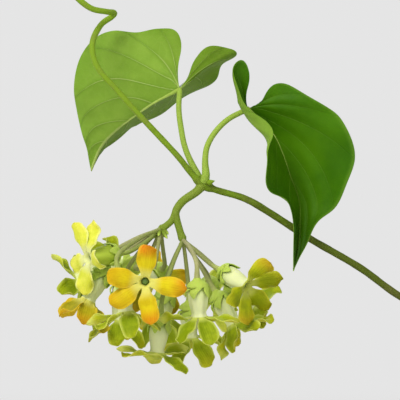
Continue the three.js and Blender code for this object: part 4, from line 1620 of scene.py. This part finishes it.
# Flowering shoot
@dataclass
class Shoot:
    """The side stem with its two leaves and its free twining tip, measured from its node."""

    shop: Workshop
    vine: Vine
    radius: float = 1.02
    free_radius: float = 0.84
    tip_radius: float = 0.6
    course: Sequence[Place] = (
        (57, 5, -32.5), (44.3, 4.5, -23.6), (30.2, 3.6, -15.4), (18.5, 2, -7.9), (11.5, 0.8, -4), (0, 0, 0),
        (-7.9, -2, 8.7), (-18.6, -3.5, 20.1), (-24.2, -4, 26.4), (-28.4, -4.4, 31), (-30.5, -4, 35.4),
        (-30.7, -2.5, 40), (-28.6, 0.5, 44.6), (-25.7, 2.2, 47), (-24.9, 0, 47.9), (-27, -4.2, 47.9),
        (-31, -6.6, 48.6), (-35, -7.2, 51.6), (-38.2, -5, 55.2), (-39, -0.5, 58.4), (-36.2, 2.4, 61.4),
        (-33, 0.6, 64.8), (-32.8, -2.6, 68),
    )
    bud_course: Sequence[Place] = ((0.6, -0.6, 0.2), (2.0, -1.9, 0.5), (3.3, -2.4, 0.9))
    bud_radii: Sequence[float] = (
        0.4, 0.5, 0.6, 0.7, 0.78, 0.8, 0.8, 0.76, 0.7, 0.6, 0.48, 0.34, 0.2, 0.04,
    )

    def stem(self) -> Piece:
        """Builds the stem with its swollen node, a small bud beside it and fine hairs.

        Returns:
            The dressed stem.
        """
        foot = self.vine.at(self.vine.branch) - SHOOT_NODE + np.array([-0.6, 0, 0.2])
        path = Path([foot, *self.course]).even(300)
        share = np.linspace(0, 1, len(path))
        radius = blend(self.radius, self.free_radius, smoothstep(share, 0.34, 0.5))
        radius = blend(radius, self.tip_radius, np.maximum(0, share - 0.84) / 0.16)
        gap = np.linalg.norm(path, axis=1)
        radius = radius + 0.75 * bell(gap, 1.9) + 0.25 * np.exp(-((gap - 2.2) ** 2) / 0.6)
        radius = radius * (1 + 0.035 * np.sin(share * 160) * np.sin(share * 57))
        radius[-6:] *= np.sqrt(np.linspace(0.9, 0.02, 6))
        bud = Strand(Path(self.bud_course).even(len(self.bud_radii)), np.array(self.bud_radii))
        strands = [Strand(path, radius), bud]
        made = self.shop.round_stems("shoot_stem", strands, self.shop.shoot, 14, SHOOT_NODE)
        dress(self.shop.hairs("shoot_stem_hairs", made, density=1.8e6, length=0.28, seed=7), "stem_green")
        return dress(made, "stem_green", "flowering_shoot")

    def leaf(self, leaf: Leaf, name: str, node: str) -> Piece:
        """Builds one of the two leaves.

        Args:
            leaf: The leaf's curves.
            name: The piece's name.
            node: The solid that it stands for.

        Returns:
            The dressed leaf.
        """
        blade = leaf.blade().make(name, self.shop.leaf, SHOOT_NODE)
        stalk = self.shop.round_stems(name + "_stalk", leaf.stalk(), self.shop.petiole, 12, SHOOT_NODE)
        dress(self.shop.hairs(name + "_hairs", stalk, density=1.8e6, length=0.26, seed=9), "leaf_green")
        return dress(join(name, [blade, stalk]), "leaf_green", node)

    def build(self) -> None:
        """Builds the stem and both leaves."""
        self.stem()
        self.leaf(LEFT_LEAF, "raised_leaf", "shoot_leaf_left")
        self.leaf(RIGHT_LEAF, "folded_leaf", "shoot_leaf_right")


LEFT_LEAF = Leaf(
    petiole=[
        (-0.7, 0.5, 0.9), (-1.8, 1.05, 2.85), (-4.9, 1.6, 9.8), (-6.2, 1.9, 15.9), (-6.8, 2, 21.3),
        (-6.5, 2, 26.6),
    ],
    midrib=[
        (-6.5, 2, 26.6), (-12.9, 7, 23.6), (-17.5, 11, 20.9), (-25.1, 18, 15.6), (-29.7, 23, 10.8),
        (-32.7, 27, 4),
    ],
    left=LeafHalf(
        margin=[
            (-5, 5, 40.6), (-8, 6, 43.6), (-13.1, 6.6, 44.1), (-18.8, 8, 42.9), (-25.3, 8.5, 43.7),
            (-30.9, 9.6, 41.3), (-35.3, 11.6, 35.8), (-36.8, 14.6, 28.3), (-36.5, 18.6, 21),
            (-34.8, 22, 14.7), (-33.7, 25, 9.6), (-32.7, 26.9, 4.3),
        ],
        belly=[(-2.4, -0.3, 0), (-1, -1, 0), (-1, -1.5, 1), (-0.5, -1, 0), (0, -0.2, 0)],
    ),
    right=LeafHalf(
        margin=[
            (-3.1, 7.2, 35.8), (1.4, 10, 39), (6.4, 13, 39.3), (9.5, 16, 37.7), (5.8, 20, 34.7),
            (3.8, 24, 30.8), (-1.6, 27, 27.6), (-8.1, 29.5, 23.9), (-14.2, 31, 20), (-20.4, 31, 17.1),
            (-26.2, 30, 12.8), (-29.9, 28.8, 9.2), (-32.6, 27.1, 4.3),
        ],
        belly=[(1.8, 0, 0), (2.2, 0, 3.6), (1, 0, 1), (0, 1, -1), (0, 0, 0)],
    ),
    upper=(0, 1, 0),
    # Painted shade over the right half.
    shade=(0.0, 0.6),
)

RIGHT_LEAF = Leaf(
    petiole=[
        (0.3, -0.8, 0.8), (0.8, -1.6, 2.4), (0.6, -1.6, 6.6), (1.2, -1.6, 10.6), (3.5, -1.5, 14.6),
        (7.2, -1, 18.2), (12.6, 0, 21),
    ],
    midrib=[
        (12.6, 0, 21), (16.4, 1.2, 17.6), (20, 2, 13.5), (22.5, 2.2, 8), (24.5, 2, 2), (26.8, 1.4, -4.6),
        (27, 0.6, -12.4), (26.4, 0, -18.6), (25.3, -0.6, -24.4),
    ],
    left=LeafHalf(
        margin=[
            (14.2, -3.2, 30.8), (11.1, -5, 34.5), (8.3, -6.8, 31.2), (10, -9, 24.6), (13.1, -10.6, 20.4),
            (17.4, -12.8, 16.7), (19.3, -14.4, 13.2), (17.5, -15.4, 8.3), (17.2, -14.6, 3.2),
            (18.4, -12, -1.9), (23.1, -7, -5), (25.4, -3.4, -10.6), (25.2, -1.8, -17.2),
            (25.3, -0.7, -24.1),
        ],
        belly=[(-2.4, 0, 0), (-2.4, 0.6, 0), (-5.5, -2, -2.5), (-2, -1.6, 0), (-1, -0.8, 0), (0, 0, 0)],
    ),
    right=LeafHalf(
        margin=[
            (18.3, -2, 28.3), (22.3, -3.4, 28.2), (28.2, -5, 25), (34, -6.4, 21.5), (38.1, -7.4, 17.9),
            (41, -8.2, 12.6), (41.7, -8.2, 6.4), (39.9, -7, -0.1), (36.7, -5.4, -6.2), (32.2, -3.6, -10.6),
            (29.1, -2, -16), (27.1, -1.2, -20.4), (25.3, -0.6, -24.1),
        ],
        belly=[(2, 0, -3.2), (0, 0.6, 0.4), (0, 2, 0), (0, 2.4, 0), (0, 1, 0), (0, 0, 0)],
    ),
    upper=(0, -1, 0),
    seed=3,
)


# Umbel
class Hub(Enum):
    """The two points that the flower stalks spring from."""

    LEFT = (-11.8, 0.0, -12.6)
    RIGHT = (-5.6, 0.0, -15.7)


@dataclass(frozen=True)
class Flower:
    """One flower: colour, hub, throat, the way it faces, petals' angles, spread, twist and tails."""

    tint: Tint
    hub: Hub
    throat: Place
    faces: Place
    petals: Sequence[float]
    spread: Sequence[float]
    twist: Sequence[float] = (20, 20, 20, 20, 20)
    tails: Sequence[int] = ()

    def axes(self) -> tuple[Array, Array, Array]:
        """Gives the directions that the flower is drawn in.

        Returns:
            Out of the throat, to its right and the third.
        """
        out = unit(np.array(self.faces, float))
        side = unit(np.array([1.0, 0, 0]) - out * out[0])
        return out, side, np.cross(out, side)

    def ray(self, angle: Number) -> Array:
        """Gives directions round the throat.

        Args:
            angle: The angles, in radians.

        Returns:
            A vector of length one for each.
        """
        _, side, rise = self.axes()
        turn = np.asarray(angle, float)[..., None]
        return side * np.cos(turn) + rise * np.sin(turn)


FLOWERS = (
    Flower(
        Tint.PALE, Hub.LEFT, (-31.6, -9, -20.5), (-0.82, -0.56, -0.12),
        (4, 88, 114, 202, 262), (76, 106, 80, 98, 90), (40, 5, 20, 10, -45),
    ),
    Flower(
        Tint.AMBER, Hub.LEFT, (-15.8, -22, -26.6), (-0.12, -0.98, -0.08),
        (-8, 79, 165, 213, 280), (88, 66, 70, 80, 88),
    ),
    Flower(
        Tint.OLIVE, Hub.RIGHT, (12.1, -9, -28.2), (0.72, -0.55, -0.42),
        (6, 68, 172, 240, 296), (50, 58, 70, 60, 70), (-15, -75, 40, 20, 55),
    ),
    Flower(
        Tint.LIME, Hub.RIGHT, (-1.1, -15, -36.2), (0.05, 0.1, -0.99),
        (6, 68, 128, 177, 285), (82, 44, 50, 96, 70), tails=(3,),
    ),
    Flower(
        Tint.LIME, Hub.RIGHT, (-12.7, -8, -46.6), (-0.1, -0.05, -0.99),
        (28, 150, 195, 262, 325), (60, 82, 94, 72, 110), tails=(2, 4),
    ),
    Flower(
        Tint.LIME, Hub.RIGHT, (-3.5, 5, -43), (0.04, 0.2, -0.98),
        (-30, 52, 122, 190, 260), (66, 48, 46, 56, 44),
    ),
    Flower(
        Tint.LIME, Hub.LEFT, (-21.1, -15, -35), (0.15, -0.1, -0.98),
        (16, 78, 140, 186, 280), (48, 42, 68, 84, 75), tails=(3,),
    ),
    Flower(
        Tint.AMBER, Hub.LEFT, (-32, -3, -32.3), (-0.45, -0.1, -0.88),
        (8, 74, 128, 226, 290), (46, 44, 36, 32, 70),
    ),
    Flower(
        Tint.LIME, Hub.LEFT, (-35, 7.5, -27.2), (-0.8, 0.2, -0.5),
        (24, 104, 176, 256, 320), (60, 72, 84, 84, 52), tails=(2,),
    ),
    Flower(
        Tint.LIME, Hub.LEFT, (-24, 5, -38), (-0.2, 0.1, -0.97),
        (8, 80, 152, 224, 296), (46, 52, 38, 52, 46),
    ),
    Flower(
        Tint.LIME, Hub.LEFT, (-25, 16, -23), (-0.55, 0.83, 0.05),
        (4, 54, 134, 212, 284), (112, 84, 64, 78, 36),
    ),
    Flower(
        Tint.LIME, Hub.RIGHT, (8.6, -1, -39), (0.5, -0.1, -0.86),
        (14, 66, 116, 167, 252), (62, 60, 46, 44, 60), tails=(3,),
    ),
    Flower(
        Tint.LIME, Hub.RIGHT, (13.2, 9, -35), (0.6, 0.35, -0.72),
        (-30, 70, 158, 212, 268), (80, 80, 60, 46, 50),
    ),
    Flower(
        Tint.LIME, Hub.RIGHT, (-11.5, 14.5, -38.5), (-0.1, 0.5, -0.86),
        (0, 70, 144, 216, 288), (34, 40, 34, 38, 32),
    ),
    Flower(
        Tint.PALE, Hub.RIGHT, (2.6, 19.5, -33), (0.1, 0.85, -0.52),
        (-8, 62, 138, 208, 280), (78, 80, 78, 76, 74),
    ),
    Flower(
        Tint.AMBER, Hub.LEFT, (-14, 20.5, -28), (-0.22, 0.9, -0.36),
        (-18, 54, 126, 204, 270), (80, 82, 80, 50, 80),
    ),
)


@dataclass
class LobedCup:
    """A closed cup whose mouth runs out into lobes, built round an axis."""

    flower: Flower
    base: Array
    outer: Array
    inner: Array
    angles: Array
    half: int
    ribs: float = 0.0
    tones: Sequence[float] = (0.0,) * 5

    def ring(self, radius: float, height: float) -> Array:
        """Gives one ring's points.

        Args:
            radius: Its radius.
            height: Its height along the axis.

        Returns:
            The points in order.
        """
        out, _, _ = self.flower.axes()
        phase = np.arange(len(self.angles)) * math.pi / self.half
        swollen = radius * (1 + self.ribs * np.cos(phase))
        return self.base + out * height + self.flower.ray(self.angles) * swollen[:, None]

    def build(self, lobe: Callable[[int, Array], Array], thick: Callable[[Array, Array], Array]) -> Skin:
        """Builds the skin.

        Args:
            lobe: Gives the rows of a lobe from its number and the mouth points it starts on.
            thick: Gives the lobes' thickness at their rows' shares and columns.

        Returns:
            The closed skin.
        """
        skin = Skin()
        depth = min(self.outer[0][1], -0.1)
        outs = skin.stack([self.ring(r, h) for r, h in self.outer], [[-h / depth] for _, h in self.outer])
        throat = [[min(0.0, -h / depth), 0, 1] for _, h in self.inner]
        ins = skin.stack([self.ring(r, h) for r, h in self.inner], throat)
        skin.cap(outs[0][::-1], [-1])
        skin.cap(ins[-1], [-1, 0, 1])
        every = np.vstack(skin.points)
        for k, tone in enumerate(self.tones):
            base = np.arange(-self.half, self.half + 1) + 2 * self.half * k
            base = base % len(self.angles)
            mouth = (every[outs[-1][base]] + every[ins[0][base]]) / 2
            rows = np.concatenate([mouth[None], lobe(k, mouth)])
            normal = unit(np.cross(np.gradient(rows, axis=0), np.gradient(rows, axis=1)))
            shares, places = np.linspace(0, 1, len(rows)), np.linspace(-1, 1, len(base))
            share, across = np.meshgrid(shares, places, indexing="ij")
            lift = normal * (thick(share, across) / 2)[..., None]
            upper = skin.add((rows + lift)[1:], [share[1:], across[1:], 1, tone])
            lower = skin.add((rows - lift)[1:], [share[1:], across[1:], 0, tone])
            upper = np.concatenate([ins[0][base][None], upper])
            lower = np.concatenate([outs[-1][base][None], lower])
            skin.sheet(upper, lower)
            skin.band(lower[-1], upper[-1])
        return skin


@dataclass
class Umbel:
    """The hanging head: its stalks with their calyces, and the flowers."""

    shop: Workshop
    tube_length: float = 8.5
    base_radius: float = 1.9
    belly_radius: float = 2.7
    neck_radius: float = 1.9
    petal_length: float = 9.4
    petal_half: float = 2.75
    sepal_length: float = 3.6
    fit: float = 0.3
    fork: Place = (-7.8, 0.0, -8.6)
    coarse: int = 4
    rows: int = 18
    half: int = 6
    tube_ribs: float = 0.05
    sepal_rows: int = 8
    sepal_half: int = 3
    calyx_youth: float = 0.9

    def angles(self, petals: Sequence[float]) -> Array:
        """Gives the ring angles from the first petal round, with valleys halfway between petals.

        Args:
            petals: The petals' angles in degrees, in rising order.

        Returns:
            The angles in radians.
        """
        centres = np.radians(np.array([*petals, petals[0] + 360.0]))
        stops = np.empty(2 * len(petals) + 1)
        stops[0::2] = centres
        stops[1::2] = (centres[:-1] + centres[1:]) / 2
        fine = np.arange(2 * len(petals) * self.half) / self.half
        return np.interp(fine, np.arange(len(stops)), stops)

    def petal_width(self, share: Array) -> Array:
        """Gives half the petal's width.

        Args:
            share: Shares of the petal's length.

        Returns:
            Half the width at each, in millimetres.
        """
        claw = smoothstep(share, -0.25, 0.5)
        blunt = np.sqrt(np.maximum(0, 1 - share**5))
        end = np.sqrt(np.maximum(0.03, 1 - np.maximum(0, (share - 0.86) / 0.145) ** 2))
        return self.petal_half * (0.3 + 0.7 * claw) * (0.48 + 0.52 * blunt) * end

    def petal(self, flower: Flower, n: int, k: int, mouth: Array) -> Array:
        """Gives the rows of one petal past the mouth of the tube.

        Args:
            flower: The flower.
            n: The flower's number, from 0.
            k: The petal's number, from 0.
            mouth: The points of the mouth that the petal starts on.

        Returns:
            Rows of points from the mouth to the tip.
        """
        out, _, _ = flower.axes()
        ray = flower.ray(math.radians(flower.petals[k]))
        level = np.cross(out, ray)
        length = self.petal_length * (1 + 0.07 * vary(n, k))
        opened = math.radians(flower.spread[k])
        twist = math.radians(flower.twist[k] + 12 * vary(n, k + 20))
        tail = 1.0 if k in flower.tails else 0.0

        def lean(share: Array) -> Array:
            """Gives how far the petal leans out at a share of its length."""
            open_share = smoothstep(share, -0.1, 0.45)
            return blend(math.radians(25), opened, open_share)

        centre = np.array(flower.throat) + ray * self.neck_radius
        knots = [mouth[len(mouth) // 2]]
        for i in range(1, self.coarse + 1):
            angle = lean(i / self.coarse)
            centre = centre + (out * math.cos(angle) + ray * math.sin(angle)) * length / self.coarse
            knots.append(centre)
        share = np.arange(1, self.rows + 1) / self.rows
        middles = Path(knots).at(share)
        angle = lean(share)[:, None]
        face = out * np.sin(angle) - ray * np.cos(angle)
        curl = (0.9 * vary(n, k + 40) + 1.5 * tail) * smoothstep(share, 0.72 - 0.2 * tail, 1.0)
        turn = (twist * share + curl)[:, None]
        width = level * np.cos(turn) + face * np.sin(turn)
        lift = face * np.cos(turn) - level * np.sin(turn)
        v, row = np.linspace(-1, 1, len(mouth))[None], share[:, None]
        half = (self.petal_width(share) * (1 - 0.66 * tail * smoothstep(share, 0.5, 1.0)))[:, None]
        skewed = v * half * (1 + 0.1 * np.sign(vary(n, k + 50)) * v)
        wave = 0.16 * half * np.abs(v) ** 3 * np.sin(11 * row + 6 * vary(n, k + 60) + 2 * v)
        furrow = -0.12 * bell(v, 0.2) * smoothstep(row, 0.05, 0.4)
        height = -0.32 * half * v**2 + wave + furrow
        flat = skewed[..., None] * width[:, None] + height[..., None] * lift[:, None]
        curved = (mouth - mouth[len(mouth) // 2])[None]
        return middles[:, None] + blend(curved, flat, smoothstep(share, 0, 0.3)[:, None, None])

    def corolla(self, flower: Flower, n: int) -> Piece:
        """Builds one flower: swollen tube, open throat, five petals and the green heart inside.

        Args:
            flower: The flower.
            n: The flower's number, from 0.

        Returns:
            The dressed flower.
        """
        length, neck, throat = self.tube_length, self.neck_radius, np.array(flower.throat)
        outer = Path([
            (1.3, -length), (self.base_radius, -length + 0.35), (2.55, -7.0), (self.belly_radius, -5.6),
            (2.45, -3.4), (neck + 0.08, -1.4), (neck + 0.02, -0.6), (neck + 0.3, 0),
        ]).even(18)
        inner = Path([
            (neck - 0.2, 0.35), (neck - 0.42, 0.05), (1.2, -0.7), (0.95, -1.8), (0.9, -3.2),
        ]).even(9)
        tones = [vary(n, k + 70) + (3.0 if k in flower.tails else 0.0) for k in range(5)]
        angles = self.angles(flower.petals)
        cup = LobedCup(flower, throat, outer, inner, angles, self.half, self.tube_ribs, tones)

        def thick(share: Array, across: Array) -> Array:
            """Gives the petal's thickness."""
            return blend(0.52, 0.2, across**2) * blend(1.0, 0.6, share)

        skin = cup.build(lambda k, mouth: self.petal(flower, n, k, mouth), thick)
        out, _, _ = flower.axes()
        turn = np.linspace(0, 2 * math.pi, 15, endpoint=False)
        heart = []
        for radius, height in ((0.95, -2.6), (0.98, -1.5), (0.86, -0.95), (0.5, -0.66)):
            lobed = radius * (1 + 0.12 * np.cos(5 * turn))
            heart.append(throat + out * height + flower.ray(turn) * lobed[:, None])
        mark = [-0.5, 0, 1]
        skin.shut(skin.stack(heart, [mark] * len(heart)), mark, out * 0.12)
        made = skin.make(f"corolla_{n + 1:02d}", self.shop.petals[flower.tint], SHOOT_NODE, 75)
        return dress(made, flower.tint.slot(), f"flower_{n + 1:02d}")

    def calyx(self, flower: Flower, n: int) -> Piece:
        """Builds one calyx: a shallow cup and five pointed sepals round the tube's base.

        Args:
            flower: The flower.
            n: The flower's number, from 0.

        Returns:
            The calyx.
        """
        out, _, _ = flower.axes()
        seat = np.array(flower.throat) - out * (self.tube_length + self.fit)
        turned = [72 * k + 36 + 6 * vary(n, k + 30) for k in range(5)]
        outer = Path([(0.85, -1.9), (1.3, -1.2), (2.1, -0.7), (2.75, -0.1), (2.95, 0.5)]).even(8)
        inner = Path([(2.7, 0.6), (2.5, 0.2), (2.2, 0.0), (1.2, -0.05)]).even(4)
        cup = LobedCup(flower, seat, outer, inner, self.angles(turned), self.sepal_half)
        share = np.arange(1, self.sepal_rows + 1) / self.sepal_rows
        half = (1.75 * (1 - share) ** 0.75 * (1 + 0.25 * share) + 0.06)[:, None]

        def sepal(k: int, mouth: Array) -> Array:
            """Gives the rows of one sepal.

            Args:
                k: The sepal's number, from 0.
                mouth: The points of the cup's mouth that it starts on.

            Returns:
                Rows of points from the mouth to the tip.
            """
            ray = flower.ray(math.radians(turned[k]))
            level = np.cross(out, ray)
            start, reach = mouth[len(mouth) // 2], self.belly_radius + self.fit
            end = seat + out * self.sepal_length + ray * (reach + 0.4 + 0.25 * vary(n, k + 80))
            middles = Path([start, seat + out * 1.7 + ray * (reach + 0.18), end]).at(share)
            v = np.linspace(-1, 1, len(mouth))[None]
            flat = (v * half)[..., None] * level - (0.22 * half * v**2)[..., None] * ray
            curved = (mouth - start)[None]
            return middles[:, None] + blend(curved, flat, smoothstep(share, 0, 0.5)[:, None, None])

        skin = cup.build(sepal, lambda share, across: blend(0.42, 0.18, np.maximum(share, across**2)))
        for marks in skin.marks:
            marks[:, 0] = self.calyx_youth
        return skin.make(f"calyx_{n + 1:02d}", self.shop.stalk, SHOOT_NODE, 70)

    def pedicel(self, flower: Flower, n: int) -> Strand:
        """Gives the stalk of one flower, from its hub to its calyx.

        Args:
            flower: The flower.
            n: The flower's number, from 0.

        Returns:
            The stalk.
        """
        out, _, _ = flower.axes()
        hub = np.array(flower.hub.value)
        end = np.array(flower.throat) - out * (self.tube_length + self.fit + 2)
        reach = float(np.linalg.norm(hub - end))
        lead = end - out * 0.22 * reach
        middle = blend(hub, lead, 0.5) - np.array([0, 0, 0.05 * reach * (1 - 2 * max(0.0, -out[2]))])
        path = Path([hub, middle, lead, end + out * 0.6]).even(40)
        share = np.linspace(0, 1, len(path))
        radius = blend(0.5, 0.68, share) + 0.2 * bell(share, 0.06) + 0.2 * smoothstep(share, 0.85, 1)
        return Strand(path, radius, 1.4 + 0.8 * vary(n, 90), 0.85)

    def bracts(self) -> list[Strand]:
        """Gives the small buds and bracts that crowd at both hubs.

        Returns:
            Six strands at the left hub and one at the right.
        """
        strands = []
        share = np.linspace(0, 1, 12)
        radius = 0.58 * np.sin(math.pi * np.clip(share * 0.92 + 0.08, 0, 1)) ** 0.7 + 0.02
        for i in range(7):
            hub = np.array((Hub.LEFT if i < 6 else Hub.RIGHT).value)
            turn = 2.4 * i + 0.5 * vary(i, 5)
            way = unit(np.array([0.75 * math.cos(turn), 0.75 * math.sin(turn), -0.55 - 0.25 * vary(i, 2)]))
            length = 2.4 + 0.8 * vary(i, 3)
            path = hub + way * (0.6 + share[:, None] * length) + np.array([0, 0, -0.5]) * share[:, None] ** 2
            strands.append(Strand(path, radius))
        return strands

    def stalks(self) -> Piece:
        """Builds the peduncle, its fork, the pedicels and the calyces as one piece.

        Returns:
            The dressed stalks.
        """
        left, right, fork = Hub.LEFT.value, Hub.RIGHT.value, self.fork
        stalk = Path([
            (-0.3, 0, -0.4), (-1.9, -0.4, -2.2), (-5.4, -0.3, -4.6), (-7.2, 0, -6.8), fork,
        ]).even(40)
        left_arm = Path([fork, (-8.9, 0, -10.4), (-10.6, 0, -11.9), left, (-12.3, 0, -13.2)]).even(30)
        right_arm = Path([fork, (-7.2, 0, -10.6), (-6.2, 0, -14), right, (-5.4, 0, -16.6)]).even(30)
        down, share = np.linspace(0, 1, len(stalk)), np.linspace(0, 1, len(left_arm))
        arm = 1.0 + 0.3 * bell(share + 0.1, 0.2) + 0.25 * smoothstep(share, 0.6, 0.9)
        arm = arm * np.sqrt(np.clip((1.02 - share) / 0.2, 0, 1))
        strands = [
            Strand(stalk, blend(1.25, 1.1, down) + 0.35 * bell(down, 0.1), youth=0.55),
            Strand(left_arm, arm * 0.94, youth=0.6),
            Strand(right_arm, arm, youth=0.6),
            *[self.pedicel(flower, n) for n, flower in enumerate(FLOWERS)],
            *self.bracts(),
        ]
        stems = self.shop.round_stems("umbel_stalk", strands, self.shop.stalk, 12, SHOOT_NODE)
        dress(self.shop.hairs("umbel_hairs", stems, density=2.2e6, length=0.26, seed=5), "stalk_green")
        calyces = [self.calyx(flower, n) for n, flower in enumerate(FLOWERS)]
        return dress(join("umbel_stalk", [stems, *calyces]), "stalk_green", "umbel_stalks")

    def build(self) -> None:
        """Builds the stalks and every flower."""
        self.stalks()
        for n, flower in enumerate(FLOWERS):
            self.corolla(flower, n)


# Studio
@dataclass
class Studio:
    """Pale floor that fades into a pale backdrop, soft lights and the camera."""

    camera_place: Place = (-0.07284, -0.606, 0.16552)
    focal_pixels: float = 2142.9
    frame_pixels: float = 400.0
    sensor: float = 36.0
    backdrop: Colour = (0.80, 0.80, 0.80)
    glow: float = 0.72
    seen: float = 0.98
    floor_radius: float = 1.6
    floor_level: float = -0.0004

    def camera(self) -> None:
        """Places the camera level with the shoot, as the photograph was taken."""
        data = bpy.data.cameras.new("camera")
        data.sensor_width = self.sensor
        data.lens = self.focal_pixels / self.frame_pixels * self.sensor
        data.clip_start, data.clip_end = 0.01, 20
        camera = stand("camera", data)
        camera.location = self.camera_place
        camera.rotation_euler = (math.pi / 2, 0, 0)
        bpy.context.scene.camera = camera

    def light(
        self, name: str, place: Place, towards: Place, size: float, power: float, colour: Colour
    ) -> None:
        """Adds one soft light.

        Args:
            name: The light's name.
            place: Where it stands, in metres.
            towards: What it points at.
            size: Its width in metres.
            power: Its power in watts.
            colour: Its colour.
        """
        data = bpy.data.lights.new(name, "AREA")
        data.shape, data.size, data.energy, data.color = "DISK", size, power, colour
        lamp = stand(name, data)
        lamp.location = place
        aim = Vector(towards) - Vector(place)
        lamp.rotation_euler = aim.to_track_quat("-Z", "Y").to_euler()

    def floor(self) -> None:
        """Adds the pale floor, solid under the pot and clear far from it."""
        mesh = bpy.data.meshes.new("floor")
        ring = circle(self.floor_radius, self.floor_level, 96)
        mesh.from_pydata(ring.tolist(), [], [tuple(range(len(ring)))])
        look = Look("floor", Specular_IOR_Level=0.2)
        near = look.node("ShaderNodeVectorMath", {"operation": "LENGTH"}, {0: look.place()}, "Value")
        tone = look.noise(60, 2)
        colour = look.mix(tone, (0.74, 0.74, 0.73), (0.77, 0.77, 0.76))
        look.links.new((1 - near.rise(0.35, 1.3)).socket, look.shader.inputs["Alpha"])
        mesh.materials.append(look.finish(colour, 0.75 + tone * 0.1, tone, 0.0001))
        stand("floor", mesh)

    def world(self) -> None:
        """Lights everything evenly with a pale backdrop."""
        world = bpy.data.worlds.new("backdrop")
        world.use_nodes = True
        nodes, links = world.node_tree.nodes, world.node_tree.links
        glow, seen = nodes["Background"], nodes.new("ShaderNodeBackground")
        for background, strength in ((glow, self.glow), (seen, self.seen)):
            background.inputs["Color"].default_value = (*self.backdrop, 1)
            background.inputs["Strength"].default_value = strength
        rays, either = nodes.new("ShaderNodeLightPath"), nodes.new("ShaderNodeMixShader")
        links.new(rays.outputs["Is Camera Ray"], either.inputs[0])
        links.new(glow.outputs[0], either.inputs[1])
        links.new(seen.outputs[0], either.inputs[2])
        links.new(either.outputs[0], nodes["World Output"].inputs["Surface"])
        bpy.context.scene.world = world
        bpy.context.scene.view_settings.view_transform = "Standard"

    def build(self) -> None:
        """Builds the studio."""
        self.camera()
        self.floor()
        self.world()
        aim = (-0.07, 0.0, 0.15)
        self.light("key", (-0.45, -0.7, 0.75), aim, 0.45, 6.5, (1.0, 0.98, 0.95))
        self.light("fill", (0.7, -0.7, 0.2), aim, 0.7, 1.2, (0.98, 0.99, 1.0))
        self.light("rim", (-0.25, 0.8, 0.7), aim, 0.5, 3.5, (1.0, 1.0, 0.98))


def main() -> None:
    """Builds the studio and the plant in order."""
    logging.basicConfig(level=logging.INFO, format="%(message)s")
    Studio().build()
    shop = Workshop()
    PotAndSoil(shop).build()
    vine = Vine(shop)
    vine.build()
    Shoot(shop, vine).build()
    Umbel(shop).build()
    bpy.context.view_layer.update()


if __name__ == "__main__":
    main()
